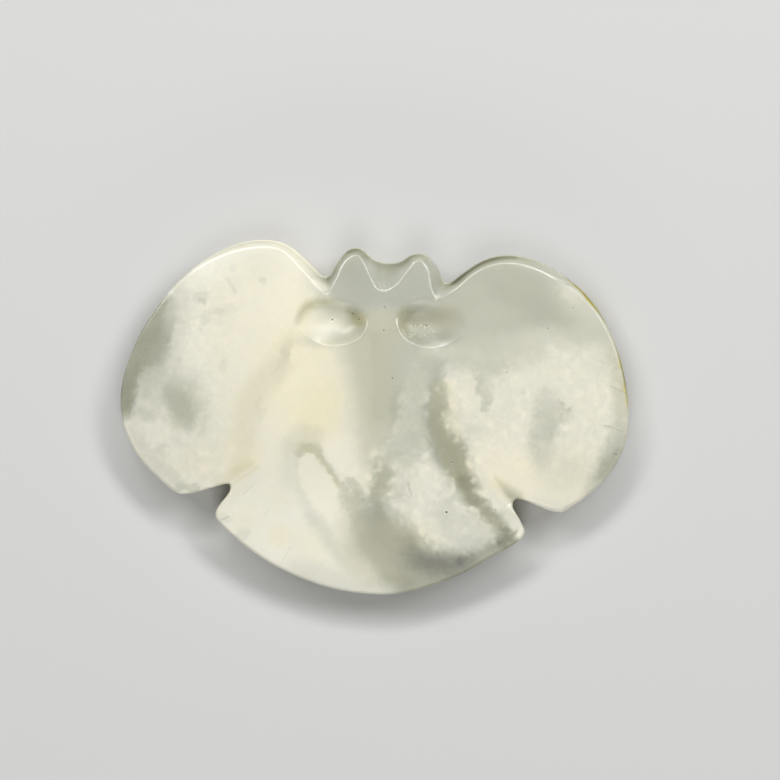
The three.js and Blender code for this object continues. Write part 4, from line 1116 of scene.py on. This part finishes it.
# Painted highlight and painted shade from the relief go into the shade attribute, the bevels' olive tint into the
# warmth.
relief_light_and_shade, olive = paint_relief_light_and_shade(points[:, 0], points[:, 1], rim)
fields["shade"] += relief_light_and_shade
fields["warmth"] += olive
for name, values in fields.items():
    add_attribute(stone, name, values)
stone.data.materials.append(jade_material())

# ---------------------------------------------------------------- floor, light and camera
def plain_floor():
    mesh = bpy.data.meshes.new("floor")
    s = 1.5
    mesh.from_pydata([(-s, -s, 0), (s, -s, 0), (s, s, 0), (-s, s, 0)], [], [(0, 1, 2, 3)])
    floor = bpy.data.objects.new("floor", mesh)
    bpy.context.scene.collection.objects.link(floor)
    mat = bpy.data.materials.new("pale_floor")
    mat.use_nodes = True
    bsdf = mat.node_tree.nodes["Principled BSDF"]
    bsdf.inputs["Base Color"].default_value = (0.62, 0.62, 0.61, 1)
    bsdf.inputs["Roughness"].default_value = 0.75
    mesh.materials.append(mat)


def softbox(name, azimuth, zenith, distance, size, power, colour=(1, 1, 1)):
    """A rectangular light that faces the object from an azimuth (0 from +X, 90 from +Y) and a zenith angle."""
    data = bpy.data.lights.new(name, "AREA")
    data.shape = "RECTANGLE"
    data.size, data.size_y = size
    data.energy = power
    data.color = colour
    light = bpy.data.objects.new(name, data)
    a, z = math.radians(azimuth), math.radians(zenith)
    place = Vector((math.cos(a) * math.sin(z), math.sin(a) * math.sin(z), math.cos(z))) * distance
    light.location = place
    light.rotation_mode = "QUATERNION"
    light.rotation_quaternion = (-place).to_track_quat("-Z", "Y")
    bpy.context.scene.collection.objects.link(light)
    return light


def studio_light():
    """Even pale light all round, stronger low down, so that the walls and arrises of a flat piece are lit too."""
    world = bpy.data.worlds.new("studio")
    world.use_nodes = True
    g = Graph(world.node_tree)
    up = g.add("ShaderNodeSeparateXYZ")
    g.put(up.inputs[0], g.add("ShaderNodeTexCoord").outputs["Generated"])
    low = g.math("SUBTRACT", 1.0, g.ease(up.outputs[2], 0.0, 0.34))
    strength = g.plus(0.40, g.times(low, 4.5))
    g.put(world.node_tree.nodes["Background"].inputs["Strength"], strength)
    bpy.context.scene.world = world


plain_floor()
studio_light()
softbox("soft_left", 128, 45, 0.8, (0.5, 0.15), 2.6)
softbox("soft_head", 88, 47, 0.8, (0.45, 0.10), 1.8)
softbox("soft_right", 42, 45, 0.8, (0.5, 0.15), 3.0)
softbox("soft_foot", 270, 35, 0.9, (0.6, 0.6), 2.6)
softbox("low_foot", 270, 77, 0.8, (0.9, 0.08), 1.6)
bpy.context.scene.view_settings.view_transform = "Standard"
bpy.context.scene.view_settings.look = "None"

cam_data = bpy.data.cameras.new("camera")
cam_data.sensor_width = 36
cam_data.lens = 135
cam_data.clip_start, cam_data.clip_end = 0.01, 10
cam = bpy.data.objects.new("camera", cam_data)
cam.location = Vector((2.19, 3.83, 419.5)) * MM
cam.rotation_euler = (0, 0, 0)
bpy.context.scene.collection.objects.link(cam)
bpy.context.scene.camera = cam

bpy.context.view_layer.update()
